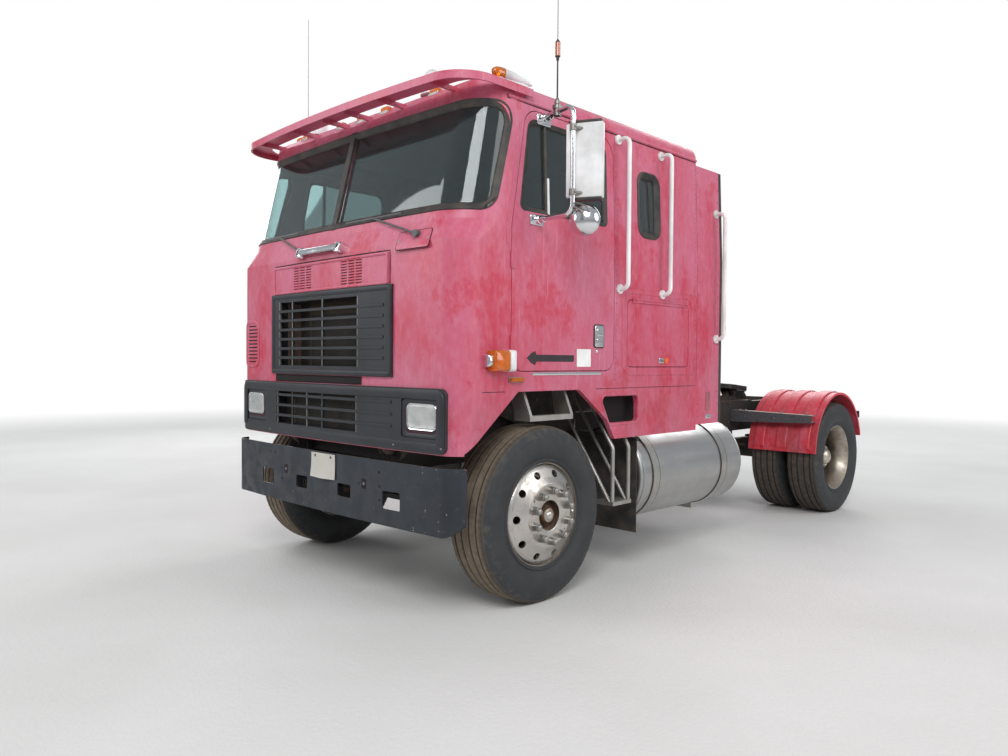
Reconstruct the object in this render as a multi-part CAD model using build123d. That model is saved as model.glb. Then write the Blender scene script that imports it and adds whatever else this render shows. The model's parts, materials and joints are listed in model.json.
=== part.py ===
# Cab-over highway tractor: flat-nosed sleeper cab that tilts, one steered front axle
# and one driven rear axle on twin tyres, with a fifth wheel behind the cab.
# Frame: +X is the truck's left, the front faces -Y, +Z up, millimetres. The origin is
# on the ground, on the symmetry plane, half way along the truck. Every Y value below
# is a station behind the front axle; the last loop moves the pieces to the origin.

import os
from math import cos, pi, radians, sin, tan

from build123d import *

# Driving dimensions of the running gear
WHEELBASE = 3970
REAR_OVERHANG = 900
BUMPER_NOSE = -726
TYRE_R = 500
TYRE_W = 295
BEAD_R = 286
FLANGE_R = 298
RIM_W = 236
FRONT_TYRE_X = 1012
TWIN_OUTER_X = 1080
TWIN_SPACING = 340
RUN_FIT = 0.05
SEAT_GAP = 0.3

# Chassis frame
RAIL_X = 432
RAIL_FLANGE = 85
RAIL_T = 8
RAIL_TOP = 990
RAIL_DEPTH = 267
RAIL_FRONT = -560
CROSS_H = 150
CROSS_W = 70
CROSS_STATIONS = (-520, 1480, 2250, WHEELBASE - 1070, WHEELBASE + 630)
PIVOT_Y = -590
PIVOT_Z = 870
PIVOT_R = 20
PIVOT_PLATE = 30
PIVOT_BOSS_R = 42

# Cab shell
CAB_HALF_W = 1143
CAB_FRONT = -700
CAB_BACK = 1601
WALL = 45
SKIRT_WALL = 30
SKIRT_Z = 885
SILL_Z = 1197
FLOOR_T = 40
FRONT_SEAM_Z = 1235
PANEL_BOTTOM_Z = 873
FACE_TOP_Z = 1990
BELT_Z = 2100
ROOF_SEAM_Z = 2785
ROOF_RISE = 140
ROOF_TOP_Z = ROOF_SEAM_Z + ROOF_RISE
PILLAR_Y = -330
CORNER_Y = -600
CORNER_BACK = -200
REAR_WALL_Y = CAB_BACK - WALL
JOINT_GAP = 5
BARREL_R = 6
FAIRING_BACK = 1909
FAIRING_T = 20

# Cab sections, lowest first: height, half width, nose station, crown sag, corner radius
SECTIONS = (
    (SKIRT_Z - 20, CAB_HALF_W, CAB_FRONT, 30, 150),
    (FACE_TOP_Z, CAB_HALF_W, CAB_FRONT, 30, 150),
    (BELT_Z, CAB_HALF_W, -662, 24, 270),
    (ROOF_SEAM_Z, CAB_HALF_W - 26, -491, 24, 210),
)

# Doors and windows, as seen from the side: station, height, corner radius
HINGE_Y = -292
DOOR_HINGES = ((1410, 1500), (1860, 1950))
LEAF_W = 24
DOOR_TOP = ROOF_SEAM_Z - 40
DOOR = ((-290, 1305, 90), (-290, 2089, 60), (-158, DOOR_TOP, 110), (630, DOOR_TOP, 150), (630, 1305, 90))
WINDOW_TOP = ROOF_SEAM_Z - 95
DOOR_WINDOW = ((-220, 2185, 30), (-137, WINDOW_TOP, 70), (550, WINDOW_TOP, 80), (550, 2185, 30))
SLEEPER_TOP = ROOF_SEAM_Z - 217
SLEEPER_LOW = SLEEPER_TOP - 386
SLEEPER_WINDOW = (
    (897, SLEEPER_LOW, 60), (897, SLEEPER_TOP, 60), (1110, SLEEPER_TOP, 60), (1110, SLEEPER_LOW, 60),
)
LOCKER = ((764, 1328, 40), (764, 1757, 40), (1489, 1757, 40), (1489, 1328, 40))
ARCH = ((-640, 850, 0), (-206, 1215, 120), (270, 1215, 200), (560, 1010, 160), (668, 850, 0))
STEP_POCKET = ((500, 1150, 30), (887, 1150, 30), (887, 985, 30), (592, 985, 25))

# Windscreen opening of one side, which runs round the cab's corner: its centre edge as seen
# from the front (X, height, corner radius) and its outer edge as seen from the side
SCREEN_LOW = 2150
SCREEN_HIGH = ROOF_SEAM_Z - 43
CENTRE_BAR = 22
SCREEN_FRONT = (
    (CENTRE_BAR, SCREEN_LOW, 30), (CAB_HALF_W + 60, SCREEN_LOW, 0), (CAB_HALF_W + 60, SCREEN_HIGH, 0),
    (CENTRE_BAR, SCREEN_HIGH, 30),
)
SCREEN_SIDE = (
    (CAB_FRONT - 60, SCREEN_LOW, 0), (CAB_FRONT - 60, SCREEN_HIGH, 0), (-245, SCREEN_HIGH, 120),
    (-411, SCREEN_LOW, 90),
)
GLASS_T = 6
GLASS_DEPTH = 18

nodes = {}


def box(x0, x1, y0, y1, z0, z1):
    """Block between two corners."""
    size = Box(x1 - x0, y1 - y0, z1 - z0, align=(Align.MIN, Align.MIN, Align.MIN))
    return Pos(x0, y0, z0) * size


def outline(corners):
    """Flat face with straight sides; each corner is (a, b, radius)."""
    count = len(corners)
    cuts = []
    for i, (a, b, radius) in enumerate(corners):
        here = Vector(a, b)
        back = (Vector(*corners[i - 1][:2]) - here).normalized()
        ahead = (Vector(*corners[(i + 1) % count][:2]) - here).normalized()
        half = radians(back.get_angle(ahead)) / 2
        reach = radius / (sin(half) / cos(half))
        middle = (back + ahead).normalized() * (radius / sin(half) - radius)
        cuts.append((here + back * reach, here + middle, here + ahead * reach, radius))
    edges = []
    for i, (start, middle, end, radius) in enumerate(cuts):
        if radius > 0:
            edges.append(ThreePointArc(start, middle, end))
        edges.append(Line(end, cuts[(i + 1) % count][0]))
    return Face(Wire(edges))


def side_prism(corners, x0, x1):
    """Outline of (station, height) drawn from the side and extruded from x0 to x1."""
    plane = Plane((x0, 0, 0), x_dir=(0, 1, 0), z_dir=(1, 0, 0))
    return extrude(plane * outline(corners), x1 - x0, dir=(1, 0, 0))


def front_prism(corners, y0, y1):
    """Outline of (X, height) drawn from the front and extruded from y0 to y1."""
    plane = Plane((0, y0, 0), x_dir=(1, 0, 0), z_dir=(0, -1, 0))
    return extrude(plane * outline(corners), y1 - y0, dir=(0, 1, 0))


def plan_prism(corners, z0, z1):
    """Outline of (X, station) drawn from above and extruded from z0 to z1."""
    return extrude(Pos(0, 0, z0) * outline(corners), z1 - z0, dir=(0, 0, 1))


def both_sides(shape):
    """The piece and its mirror image across the symmetry plane."""
    return [shape, mirror(shape, about=Plane.YZ)]


def joined(pieces):
    """One compound of separate solids."""
    return Compound(children=[solid for piece in pieces for solid in piece.solids()])


def fused(pieces):
    """One solid of pieces that run into each other."""
    body = pieces[0]
    for piece in pieces[1:]:
        body = body + piece
    return body


def nose_face(z, half_w, nose, sag, radius, back):
    """Plan outline of the cab: crowned nose, round corners, straight sides and back."""
    turn_x = half_w - radius
    edge_y = nose + sag
    side_y = edge_y + radius
    mid_x = turn_x + radius * sin(pi / 4)
    mid_y = edge_y + radius * (1 - cos(pi / 4))
    edges = [
        ThreePointArc((-turn_x, edge_y), (0, nose), (turn_x, edge_y)),
        ThreePointArc((turn_x, edge_y), (mid_x, mid_y), (half_w, side_y)),
        Line((half_w, side_y), (half_w, back)),
        Line((half_w, back), (-half_w, back)),
        Line((-half_w, back), (-half_w, side_y)),
        ThreePointArc((-half_w, side_y), (-mid_x, mid_y), (-turn_x, edge_y)),
    ]
    return Pos(0, 0, z) * Face(Wire(edges))


def cab_solid(inset, back=CAB_BACK):
    """Outside of the cab up to the roof seam, drawn in by inset on the nose and sides."""
    faces = []
    for z, half_w, nose, sag, radius in SECTIONS:
        faces.append(nose_face(z, half_w - inset, nose + inset, sag, radius - inset, back))
    stages = [loft([low, high], ruled=True) for low, high in zip(faces, faces[1:])]
    return fused(stages)


def tube_path(points, radius, tube_r):
    """Round tube along straight runs with bends."""
    path = FilletPolyline(*points, radius=radius) if len(points) > 2 else Line(*points)
    start = Plane(origin=path @ 0, z_dir=path % 0)
    return sweep(start * Circle(tube_r), path)


def rod(start, end, radius):
    """Straight round bar between two points."""
    start, end = Vector(*start), Vector(*end)
    plane = Plane(origin=start, z_dir=end - start)
    return extrude(plane * Circle(radius), (end - start).length)


def cross_disc(x0, x1, y, z, radius):
    """Cylinder along X."""
    return rod((x0, y, z), (x1, y, z), radius)


def wheel_turn(profile):
    """Solid of revolution about X from a list of (along X, radius)."""
    face = Face(Wire(Polyline(*[(a, 0, r) for a, r in profile], close=True).edges()))
    return revolve(face, Axis.X)


# Chassis frame: two channel rails, cross members, cab pivots and rear cab rests
def build_frame():
    rail_bottom = RAIL_TOP - RAIL_DEPTH
    end = WHEELBASE + REAR_OVERHANG
    inner = RAIL_X - RAIL_FLANGE
    web = RAIL_X - RAIL_T
    side = (
        (RAIL_FRONT, rail_bottom, 0), (RAIL_FRONT, RAIL_TOP, 0), (end, RAIL_TOP, 0),
        (end, RAIL_TOP - 120, 0), (end - 260, rail_bottom, 0),
    )
    rail = side_prism(side, inner, RAIL_X)
    rail -= box(inner - 1, web, RAIL_FRONT - 1, end + 1, rail_bottom + RAIL_T, RAIL_TOP - RAIL_T)
    rest_y = REAR_WALL_Y - 110
    rest = box(inner, RAIL_X, rest_y, rest_y + 90, RAIL_TOP, SILL_Z - SEAT_GAP)
    plate = side_prism(
        ((PIVOT_Y - PIVOT_BOSS_R, PIVOT_Z - 42, 30), (PIVOT_Y - PIVOT_BOSS_R, PIVOT_Z + 42, 30),
         (RAIL_FRONT + 150, PIVOT_Z + 60, 10), (RAIL_FRONT + 150, PIVOT_Z - 60, 10)),
        RAIL_X, RAIL_X + PIVOT_PLATE)
    pin = cross_disc(RAIL_X + PIVOT_PLATE, RAIL_X + 2 * PIVOT_PLATE + 8, PIVOT_Y, PIVOT_Z, PIVOT_R)
    parts = [p for piece in (rail, rest, plate, pin) for p in both_sides(piece)]
    middle = (RAIL_TOP + rail_bottom) / 2
    for y in CROSS_STATIONS:
        beam = box(-web, web, y, y + CROSS_W, middle - CROSS_H / 2, middle + CROSS_H / 2)
        beam -= box(-web, web, y + RAIL_T, y + CROSS_W + 1,
                    middle - CROSS_H / 2 + RAIL_T, middle + CROSS_H / 2 - RAIL_T)
        parts.append(beam)
    last = box(-web, web, end - RAIL_T, end, RAIL_TOP - 120, RAIL_TOP)
    parts.append(last)
    return fused(parts)


nodes["frame"] = build_frame()

# Bumper: a curved plate with rounded lower corners, its holes and two arms to the rails
BUMPER_TOP = 812
BUMPER_BOTTOM = 458
BUMPER_T = 8
BUMPER_ARM_TOP = 740
BUMPER_END_Y = -600
BUMPER_CORNER_R = 95


def build_bumper():
    outer = nose_face(BUMPER_BOTTOM, CAB_HALF_W, BUMPER_NOSE, 30, 110, BUMPER_END_Y + 30)
    inner = nose_face(BUMPER_BOTTOM, CAB_HALF_W - BUMPER_T, BUMPER_NOSE + BUMPER_T, 30,
                      110 - BUMPER_T, BUMPER_END_Y + 60)
    height = BUMPER_TOP - BUMPER_BOTTOM
    plate = extrude(outer, height) - extrude(inner, height)
    plate -= box(-2000, 2000, BUMPER_END_Y, BUMPER_END_Y + 90, BUMPER_BOTTOM - 1, BUMPER_TOP + 1)
    face = (
        (-CAB_HALF_W, BUMPER_BOTTOM, BUMPER_CORNER_R), (-CAB_HALF_W, BUMPER_TOP, 12),
        (CAB_HALF_W, BUMPER_TOP, 12), (CAB_HALF_W, BUMPER_BOTTOM, BUMPER_CORNER_R),
    )
    plate = plate & front_prism(face, BUMPER_NOSE - 10, BUMPER_END_Y + 90)
    # Tow and lamp holes on each side: middle X, width, bottom and top height
    holes = ((228, 130, 568, 645), (658, 150, 550, 650))
    for x, width, low, high in holes:
        for side in (-1, 1):
            hole = ((side * x - width / 2, low, 12), (side * x - width / 2, high, 12),
                    (side * x + width / 2, high, 12), (side * x + width / 2, low, 12))
            plate -= front_prism(hole, BUMPER_NOSE - 20, CORNER_Y)
    arm = box(RAIL_X, RAIL_X + 14, BUMPER_NOSE, RAIL_FRONT + 160, 600, BUMPER_ARM_TOP)
    arm &= extrude(outer, height)
    arm += box(RAIL_X, RAIL_X + 14, CORNER_Y, RAIL_FRONT + 160, 600, BUMPER_ARM_TOP)
    return fused([plate] + both_sides(arm))


nodes["bumper"] = build_bumper()

# Front axle: dropped beam with a boss and kingpin at each end, spring pads on top
KINGPIN_X = 800
KINGPIN_R = 22
BOSS_R = 45
BOSS_H = 120
EAR_GAP = 5
EAR_T = 35
ARM_LENGTH = 200
SPRING_X = 390
SPRING_W = 75
SPRING_PAD_Z = 545
BEAM_W = 90


def build_front_axle():
    beam = front_prism((
        (-KINGPIN_X, TYRE_R - 50, 0), (-KINGPIN_X, TYRE_R + 50, 0),
        (-SPRING_X - 90, SPRING_PAD_Z, 20), (SPRING_X + 90, SPRING_PAD_Z, 20),
        (KINGPIN_X, TYRE_R + 50, 0), (KINGPIN_X, TYRE_R - 50, 0),
        (SPRING_X + 60, TYRE_R - 70, 40), (-SPRING_X - 60, TYRE_R - 70, 40),
    ), -BEAM_W / 2, BEAM_W / 2)
    for side in (-1, 1):
        beam -= box(-SPRING_X + 70, SPRING_X - 70, side * BEAM_W / 2 - 30, side * BEAM_W / 2 + 30,
                    TYRE_R - 45, SPRING_PAD_Z - 25)
    parts = [beam]
    for side in (-1, 1):
        x = side * KINGPIN_X
        parts.append(rod((x, 0, TYRE_R - BOSS_H / 2), (x, 0, TYRE_R + BOSS_H / 2), BOSS_R))
        reach = BOSS_H / 2 + EAR_GAP + EAR_T
        parts.append(rod((x, 0, TYRE_R - reach), (x, 0, TYRE_R + reach), KINGPIN_R))
    return fused(parts)


nodes["front_axle"] = build_front_axle()


# Leaf spring packs with their hangers: station, bottom of the pack
SPRING_LENGTH = 1160
SPRING_ARCH = 60
PACK_T = 70
EYE_T = 15
HANGER_W = 90
REAR_SEAT_Z = 570
SPRINGS = ((0, SPRING_PAD_Z), (WHEELBASE, REAR_SEAT_Z))


def build_springs(station, seat_z):
    half = SPRING_LENGTH / 2
    rail_bottom = RAIL_TOP - RAIL_DEPTH
    arch = SPRING_ARCH
    low = seat_z + arch
    high = low + EYE_T
    front = station - half
    back = station + half
    edges = [
        ThreePointArc((front, low), (station, seat_z), (back, low)),
        Line((back, low), (back, high)),
        ThreePointArc((back, high), (station, seat_z + PACK_T), (front, high)),
        Line((front, high), (front, low)),
    ]
    x0 = SPRING_X - SPRING_W / 2
    plane = Plane((x0, 0, 0), x_dir=(0, 1, 0), z_dir=(1, 0, 0))
    pack = extrude(plane * Face(Wire(edges)), SPRING_W)
    parts = [pack]
    for side in (-1, 1):
        y = station + side * (half - 20)
        hanger = box(x0 - 8, x0 + SPRING_W + 4, y - HANGER_W / 2, y + HANGER_W / 2,
                     seat_z + arch - 12, rail_bottom)
        parts.append(hanger)
    clamp = box(x0 - 12, x0 + SPRING_W + 4, station - 90, station + 90, seat_z, seat_z + PACK_T + 18)
    parts.append(clamp)
    return both_sides(fused(parts))


nodes["leaf_springs"] = joined([p for seat in SPRINGS for p in build_springs(*seat)])

# Rear axle: tube, banjo housing with its nose, spring seats and spindles for the hubs
AXLE_TUBE_R = 68
BANJO_R = 215
BANJO_HALF = 120
SPINDLE_R = 48
REAR_SPINDLE_END = 905
HUB_INNER_X = 600


def build_rear_axle():
    tube = cross_disc(-HUB_INNER_X + 8, HUB_INNER_X - 8, WHEELBASE, TYRE_R, AXLE_TUBE_R)
    spindles = cross_disc(-REAR_SPINDLE_END, REAR_SPINDLE_END, WHEELBASE, TYRE_R, SPINDLE_R)
    banjo = cross_disc(-BANJO_HALF, BANJO_HALF, WHEELBASE, TYRE_R, BANJO_R)
    banjo = chamfer(banjo.edges().filter_by(GeomType.CIRCLE), 70)
    nose = rod((0, WHEELBASE, TYRE_R), (0, WHEELBASE - 350, TYRE_R + 20), 75)
    parts = [tube, spindles, banjo, nose]
    for side in (-1, 1):
        x = side * SPRING_X
        parts.append(box(x - 50, x + 50, WHEELBASE - 80, WHEELBASE + 80, TYRE_R, REAR_SEAT_Z))
    return fused(parts)


nodes["rear_axle"] = build_rear_axle()

# Steering knuckles: ears on the kingpin, yoke, spindle, backing plate and rod arm
YOKE_IN = 52
YOKE_OUT = 90
SPINDLE_FRONT_R = 40
FRONT_SPINDLE_END = 1105
BACK_PLATE_X = 885
BACK_PLATE_R = 178
ROD_PIN_R = 12
ROD_DROP = 60
FRONT_HUB_X = 900


def build_knuckle(side):
    low = TYRE_R - BOSS_H / 2 - EAR_GAP - EAR_T
    high = TYRE_R + BOSS_H / 2 + EAR_GAP + EAR_T
    parts = []
    for base in (low, high - EAR_T):
        parts.append(rod((KINGPIN_X, 0, base), (KINGPIN_X, 0, base + EAR_T), BOSS_R))
        parts.append(box(KINGPIN_X, KINGPIN_X + YOKE_OUT, -BOSS_R, BOSS_R, base, base + EAR_T))
    yoke = box(KINGPIN_X + 30, KINGPIN_X + YOKE_OUT, -60, 60, low, high)
    yoke -= rod((KINGPIN_X, 0, low + EAR_T), (KINGPIN_X, 0, high - EAR_T), YOKE_IN)
    parts.append(yoke)
    parts.append(cross_disc(BACK_PLATE_X, BACK_PLATE_X + 10, 0, TYRE_R, BACK_PLATE_R))
    parts.append(cross_disc(KINGPIN_X + YOKE_OUT - 10, FRONT_SPINDLE_END, 0, TYRE_R, SPINDLE_FRONT_R))
    arm = box(KINGPIN_X - 22, KINGPIN_X + 22, 20, ARM_LENGTH, low, low + EAR_T)
    eye = rod((KINGPIN_X, ARM_LENGTH, low), (KINGPIN_X, ARM_LENGTH, low + EAR_T), 26)
    parts += [arm, eye]
    body = fused(parts)
    body -= rod((KINGPIN_X, 0, low - 1), (KINGPIN_X, 0, high + 1), KINGPIN_R + RUN_FIT)
    pin_r = ROD_PIN_R + (RUN_FIT if side > 0 else 1)
    body -= rod((KINGPIN_X, ARM_LENGTH, low - 1), (KINGPIN_X, ARM_LENGTH, low + EAR_T + 1), pin_r)
    return body if side > 0 else mirror(body, about=Plane.YZ)


def build_tie_rod():
    arm_low = TYRE_R - BOSS_H / 2 - EAR_GAP - EAR_T
    z = arm_low - ROD_DROP / 2
    bar = rod((-KINGPIN_X, ARM_LENGTH, z), (KINGPIN_X, ARM_LENGTH, z), 17)
    parts = [bar]
    for side in (-1, 1):
        x = side * KINGPIN_X
        parts.append(rod((x, ARM_LENGTH, z - 20), (x, ARM_LENGTH, z + 22), 26))
        parts.append(rod((x, ARM_LENGTH, z), (x, ARM_LENGTH, arm_low + EAR_T), ROD_PIN_R))
    return fused(parts)


nodes["knuckle_left"] = build_knuckle(1)
nodes["knuckle_right"] = build_knuckle(-1)
nodes["tie_rod"] = build_tie_rod()

# Tyre section from bead to bead: distance from the tyre's middle plane, radius
HALF_W = TYRE_W / 2
TREAD_HALF = 118
TYRE_PROFILE = (
    (-RIM_W / 2 + 14, BEAD_R), (-RIM_W / 2 + 6, FLANGE_R + 14), (-HALF_W, 372), (-HALF_W + 4, 440),
    (-TREAD_HALF - 8, TYRE_R - 22), (-TREAD_HALF, TYRE_R - 6), (-TREAD_HALF / 2, TYRE_R),
)
# Rim section, outside of the well first, then back along its inner side
RIM_PROFILE = (
    (-RIM_W / 2, FLANGE_R), (-RIM_W / 2 + 10, FLANGE_R), (-RIM_W / 2 + 12, BEAD_R - 2),
    (-40, BEAD_R - 10), (-25, BEAD_R - 32), (25, BEAD_R - 32), (40, BEAD_R - 10),
    (RIM_W / 2 - 12, BEAD_R - 2), (RIM_W / 2 - 10, FLANGE_R), (RIM_W / 2, FLANGE_R),
    (RIM_W / 2, BEAD_R - 6), (RIM_W / 2 - 20, BEAD_R - 16), (50, BEAD_R - 20), (35, BEAD_R - 42),
    (-35, BEAD_R - 42), (-50, BEAD_R - 20), (-RIM_W / 2 + 20, BEAD_R - 16), (-RIM_W / 2, BEAD_R - 6),
)


def build_tyre(x, y):
    mirrored = [(-a, r) for a, r in reversed(TYRE_PROFILE)]
    return Pos(x, y, TYRE_R) * wheel_turn(list(TYRE_PROFILE) + mirrored)


# Wheel centre disc of the front: along X from the rim's middle plane, radius
DISC_T = 20
DISC_OUT = 165
NUT_CIRCLE_R = 142.5
NUT_R = 20
NUT_LENGTH = 62
NUTS = 10
HAND_HOLE_R = 19
HAND_HOLE_CIRCLE_R = 226
DRUM_R = 205


def build_front_wheel():
    rim = wheel_turn(RIM_PROFILE)
    disc = wheel_turn((
        (RIM_W / 2 - 30, BEAD_R - 12), (RIM_W / 2 - 10, BEAD_R - 10), (RIM_W / 2 + 6, 262),
        (DISC_OUT - 12, 196), (DISC_OUT, 182), (DISC_OUT, 84), (DISC_OUT - DISC_T, 84),
        (DISC_OUT - DISC_T, 176), (RIM_W / 2 - 16, 248),
    ))
    drum_in = FRONT_HUB_X - FRONT_TYRE_X
    hub = wheel_turn((
        (drum_in, DRUM_R), (20, DRUM_R), (40, 190), (DISC_OUT - DISC_T, 176), (DISC_OUT - DISC_T, 84),
        (DISC_OUT - 40, 84), (DISC_OUT - 40, 50), (DISC_OUT + 14, 44), (DISC_OUT + 14, 0),
        (FRONT_SPINDLE_END - FRONT_TYRE_X + 2, 0),
        (FRONT_SPINDLE_END - FRONT_TYRE_X + 2, SPINDLE_FRONT_R + RUN_FIT),
        (drum_in, SPINDLE_FRONT_R + RUN_FIT),
    ))
    body = rim + disc + hub
    for i in range(NUTS):
        turn = Rot(360 / NUTS * i, 0, 0)
        nut = rod((DISC_OUT - 4, 0, NUT_CIRCLE_R), (DISC_OUT + NUT_LENGTH, 0, NUT_CIRCLE_R), NUT_R)
        body += turn * nut
    for i in range(NUTS):
        turn = Rot(360 / NUTS * (i + 0.5), 0, 0)
        hole = rod((DRUM_R / 4, 0, HAND_HOLE_CIRCLE_R), (DISC_OUT + 20, 0, HAND_HOLE_CIRCLE_R), HAND_HOLE_R)
        body -= turn * hole
    return body


def build_rear_wheel():
    """Both rims of one side, with the hub and the drum between them."""
    half = TWIN_SPACING / 2
    rims = [Pos(x, 0, 0) * wheel_turn(RIM_PROFILE) for x in (-half, half)]
    inner_end = HUB_INNER_X - TWIN_OUTER_X + half
    hub_end = 40
    discs = wheel_turn((
        (-half + 45, BEAD_R - 14), (-half + 75, BEAD_R - 12), (-30, 205), (-18, 190), (18, 190), (30, 205),
        (half - 75, BEAD_R - 12), (half - 45, BEAD_R - 14), (48, 196), (30, 130), (-30, 130), (-48, 196),
    ))
    hub = wheel_turn((
        (inner_end, DRUM_R), (-60, DRUM_R), (-30, 186), (20, 186), (20, 95), (130, 80), (150, 66), (158, 0),
        (REAR_SPINDLE_END - TWIN_OUTER_X + half + 2, 0),
        (REAR_SPINDLE_END - TWIN_OUTER_X + half + 2, SPINDLE_R + RUN_FIT),
        (inner_end, SPINDLE_R + RUN_FIT),
    ))
    body = fused(rims + [discs, hub])
    for i in range(NUTS):
        nut = rod((14, 0, NUT_CIRCLE_R), (hub_end + 30, 0, NUT_CIRCLE_R), NUT_R - 2)
        body += Rot(360 / NUTS * i, 0, 0) * nut
    return body


front_wheel = build_front_wheel()
rear_wheel = build_rear_wheel()
for side, label in ((1, "left"), (-1, "right")):
    tyre = build_tyre(FRONT_TYRE_X * side, 0)
    twins = joined([build_tyre(side * (TWIN_OUTER_X - step), WHEELBASE) for step in (0, TWIN_SPACING)])
    wheels = Pos(FRONT_TYRE_X, 0, TYRE_R) * front_wheel
    doubles = Pos(TWIN_OUTER_X - TWIN_SPACING / 2, WHEELBASE, TYRE_R) * rear_wheel
    if side < 0:
        wheels = mirror(wheels, about=Plane.YZ)
        doubles = mirror(doubles, about=Plane.YZ)
    nodes[f"front_tyre_{label}"] = tyre
    nodes[f"front_wheel_{label}"] = wheels
    nodes[f"rear_tyres_{label}"] = twins
    nodes[f"rear_wheels_{label}"] = doubles

# Engine with its gearbox as one plain block on four feet, radiator and propeller shaft
ENGINE = {"half_w": 330, "front": -400, "back": 700, "low": 750, "high": 1480}
GEARBOX = {"half_w": 200, "back": 1400, "low": 640, "high": 950}
RADIATOR = {"half_w": 420, "front": -552, "back": -470, "high": 1740}
SHAFT_R = 48


CHEEK_T = 30
LOW_TANK_H = 60
HIGH_TANK_H = 90


def build_engine():
    e, g = ENGINE, GEARBOX
    block = box(-e["half_w"], e["half_w"], e["front"], e["back"], e["low"], e["high"])
    box_tail = box(-g["half_w"], g["half_w"], e["back"], g["back"], g["low"], g["high"])
    parts = [block, box_tail]
    for y in (e["front"] + 150, e["back"] - 150):
        parts += both_sides(box(e["half_w"] - 10, RAIL_X - 20, y - 60, y + 60, RAIL_TOP, RAIL_TOP + 30))
    return fused(parts)


def build_radiator():
    r = RADIATOR
    w, front, back, high = r["half_w"], r["front"], r["back"], r["high"]
    core_w = w - CHEEK_T
    core = box(-core_w, core_w, front + 12, back - 12, RAIL_TOP + LOW_TANK_H, high - HIGH_TANK_H)
    top = box(-w, w, front, back, high - HIGH_TANK_H, high)
    low = box(-w, w, front, back, RAIL_TOP, RAIL_TOP + LOW_TANK_H)
    cheeks = both_sides(box(core_w, w, front, back, RAIL_TOP, high))
    return fused([core, top, low] + cheeks)


nodes["engine"] = build_engine()
nodes["radiator"] = build_radiator()
shaft_start = (0, GEARBOX["back"] + 5, (GEARBOX["low"] + GEARBOX["high"]) / 2 - 60)
shaft_end = (0, WHEELBASE - 352, TYRE_R + 40)
nodes["propeller_shaft"] = rod(shaft_start, shaft_end, SHAFT_R)

# Fuel tanks with the brackets and straps that hold them to the rails
TANK_R = 311
TANK_X = 857
TANK_Z = 610
TANK_FRONT = 925
TANK_BACK = 2234
TANK_BRACKETS = (1040, 1925)
BRACKET_W = 70
STRAP_T = 6
NECK_REACH = 420
NECK_R = 52


def build_tank():
    tank = rod((TANK_X, TANK_FRONT, TANK_Z), (TANK_X, TANK_BACK, TANK_Z), TANK_R)
    tank = fillet(tank.edges().filter_by(GeomType.CIRCLE), 30)
    neck_low = (TANK_X + 60, TANK_BACK - NECK_REACH, TANK_Z + 280)
    neck_high = (TANK_X + 90, TANK_BACK - NECK_REACH, TANK_Z + 350)
    return tank + rod(neck_low, neck_high, NECK_R)


def build_tank_bracket(y):
    inner = TANK_R + SEAT_GAP
    strap = rod((TANK_X, y, TANK_Z), (TANK_X, y + BRACKET_W, TANK_Z), inner + STRAP_T)
    back = box(RAIL_X, RAIL_X + 14, y, y + BRACKET_W, TANK_Z - 60, RAIL_TOP - 20)
    below = TANK_Z - TANK_R - 40
    shelf = front_prism((
        (RAIL_X, TANK_Z + 40, 0), (RAIL_X, TANK_Z - 250, 0), (TANK_X - 180, below, 0),
        (TANK_X + 60, below, 0), (TANK_X + 60, below + 60, 0), (TANK_X, TANK_Z, 0),
    ), y, y + BRACKET_W)
    top = box(RAIL_X, TANK_X - 180, y, y + BRACKET_W, TANK_Z + 200, TANK_Z + 260)
    body = fused([strap, back, shelf, top])
    return body - rod((TANK_X, y - 1, TANK_Z), (TANK_X, y + BRACKET_W + 1, TANK_Z), inner)


nodes["fuel_tanks"] = joined(both_sides(build_tank()))
nodes["tank_brackets"] = joined([p for y in TANK_BRACKETS for p in both_sides(build_tank_bracket(y))])

# Splash flaps behind the front wheels, hung from a bar on each rail
FLAP_Y = 897
FLAP_T = 6
FLAP_BAR_Z = 850
FLAP_OUT = CAB_HALF_W - 11


def build_flap():
    sheet = box(560, FLAP_OUT, FLAP_Y, FLAP_Y + FLAP_T, 260, FLAP_BAR_Z)
    bar = box(RAIL_X, FLAP_OUT, FLAP_Y, FLAP_Y + 22, FLAP_BAR_Z, FLAP_BAR_Z + 25)
    return sheet + bar


nodes["splash_flaps"] = joined(both_sides(build_flap()))

# Rear fenders: ribbed half rounds over the twins, carried by two arms a side
FENDER_Z = 572
FENDER_R = 524
FENDER_T = 5
FENDER_IN = 600
FENDER_OUT = 1225
FENDER_REAR_Z = 674
FENDER_RIBS = (690, 905, 1120)
RIB_W = 60
ARM_Z = (812, 922)
ARM_TIP_Z = (840, 906)
ARM_TIP_X = 1197
FENDER_ARM_Y = (-555, 455)
FENDER_ARM_DEPTH = 100


def fender_ring(x0, x1, outer, inner):
    ring = cross_disc(x0, x1, WHEELBASE, FENDER_Z, outer)
    return ring - cross_disc(x0 - 1, x1 + 1, WHEELBASE, FENDER_Z, inner)


def build_fender():
    shell = fender_ring(FENDER_IN, FENDER_OUT, FENDER_R, FENDER_R - FENDER_T)
    shell += fender_ring(FENDER_OUT - 6, FENDER_OUT, FENDER_R, FENDER_R - 20)
    for x in FENDER_RIBS:
        shell += fender_ring(x - RIB_W / 2, x + RIB_W / 2, FENDER_R + 7, FENDER_R - 2)
    keep_front = box(0, 2000, WHEELBASE - 900, WHEELBASE, FENDER_Z, 2000)
    keep_back = box(0, 2000, WHEELBASE - 1, WHEELBASE + 900, FENDER_REAR_Z, 2000)
    return shell & (keep_front + keep_back)


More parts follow.
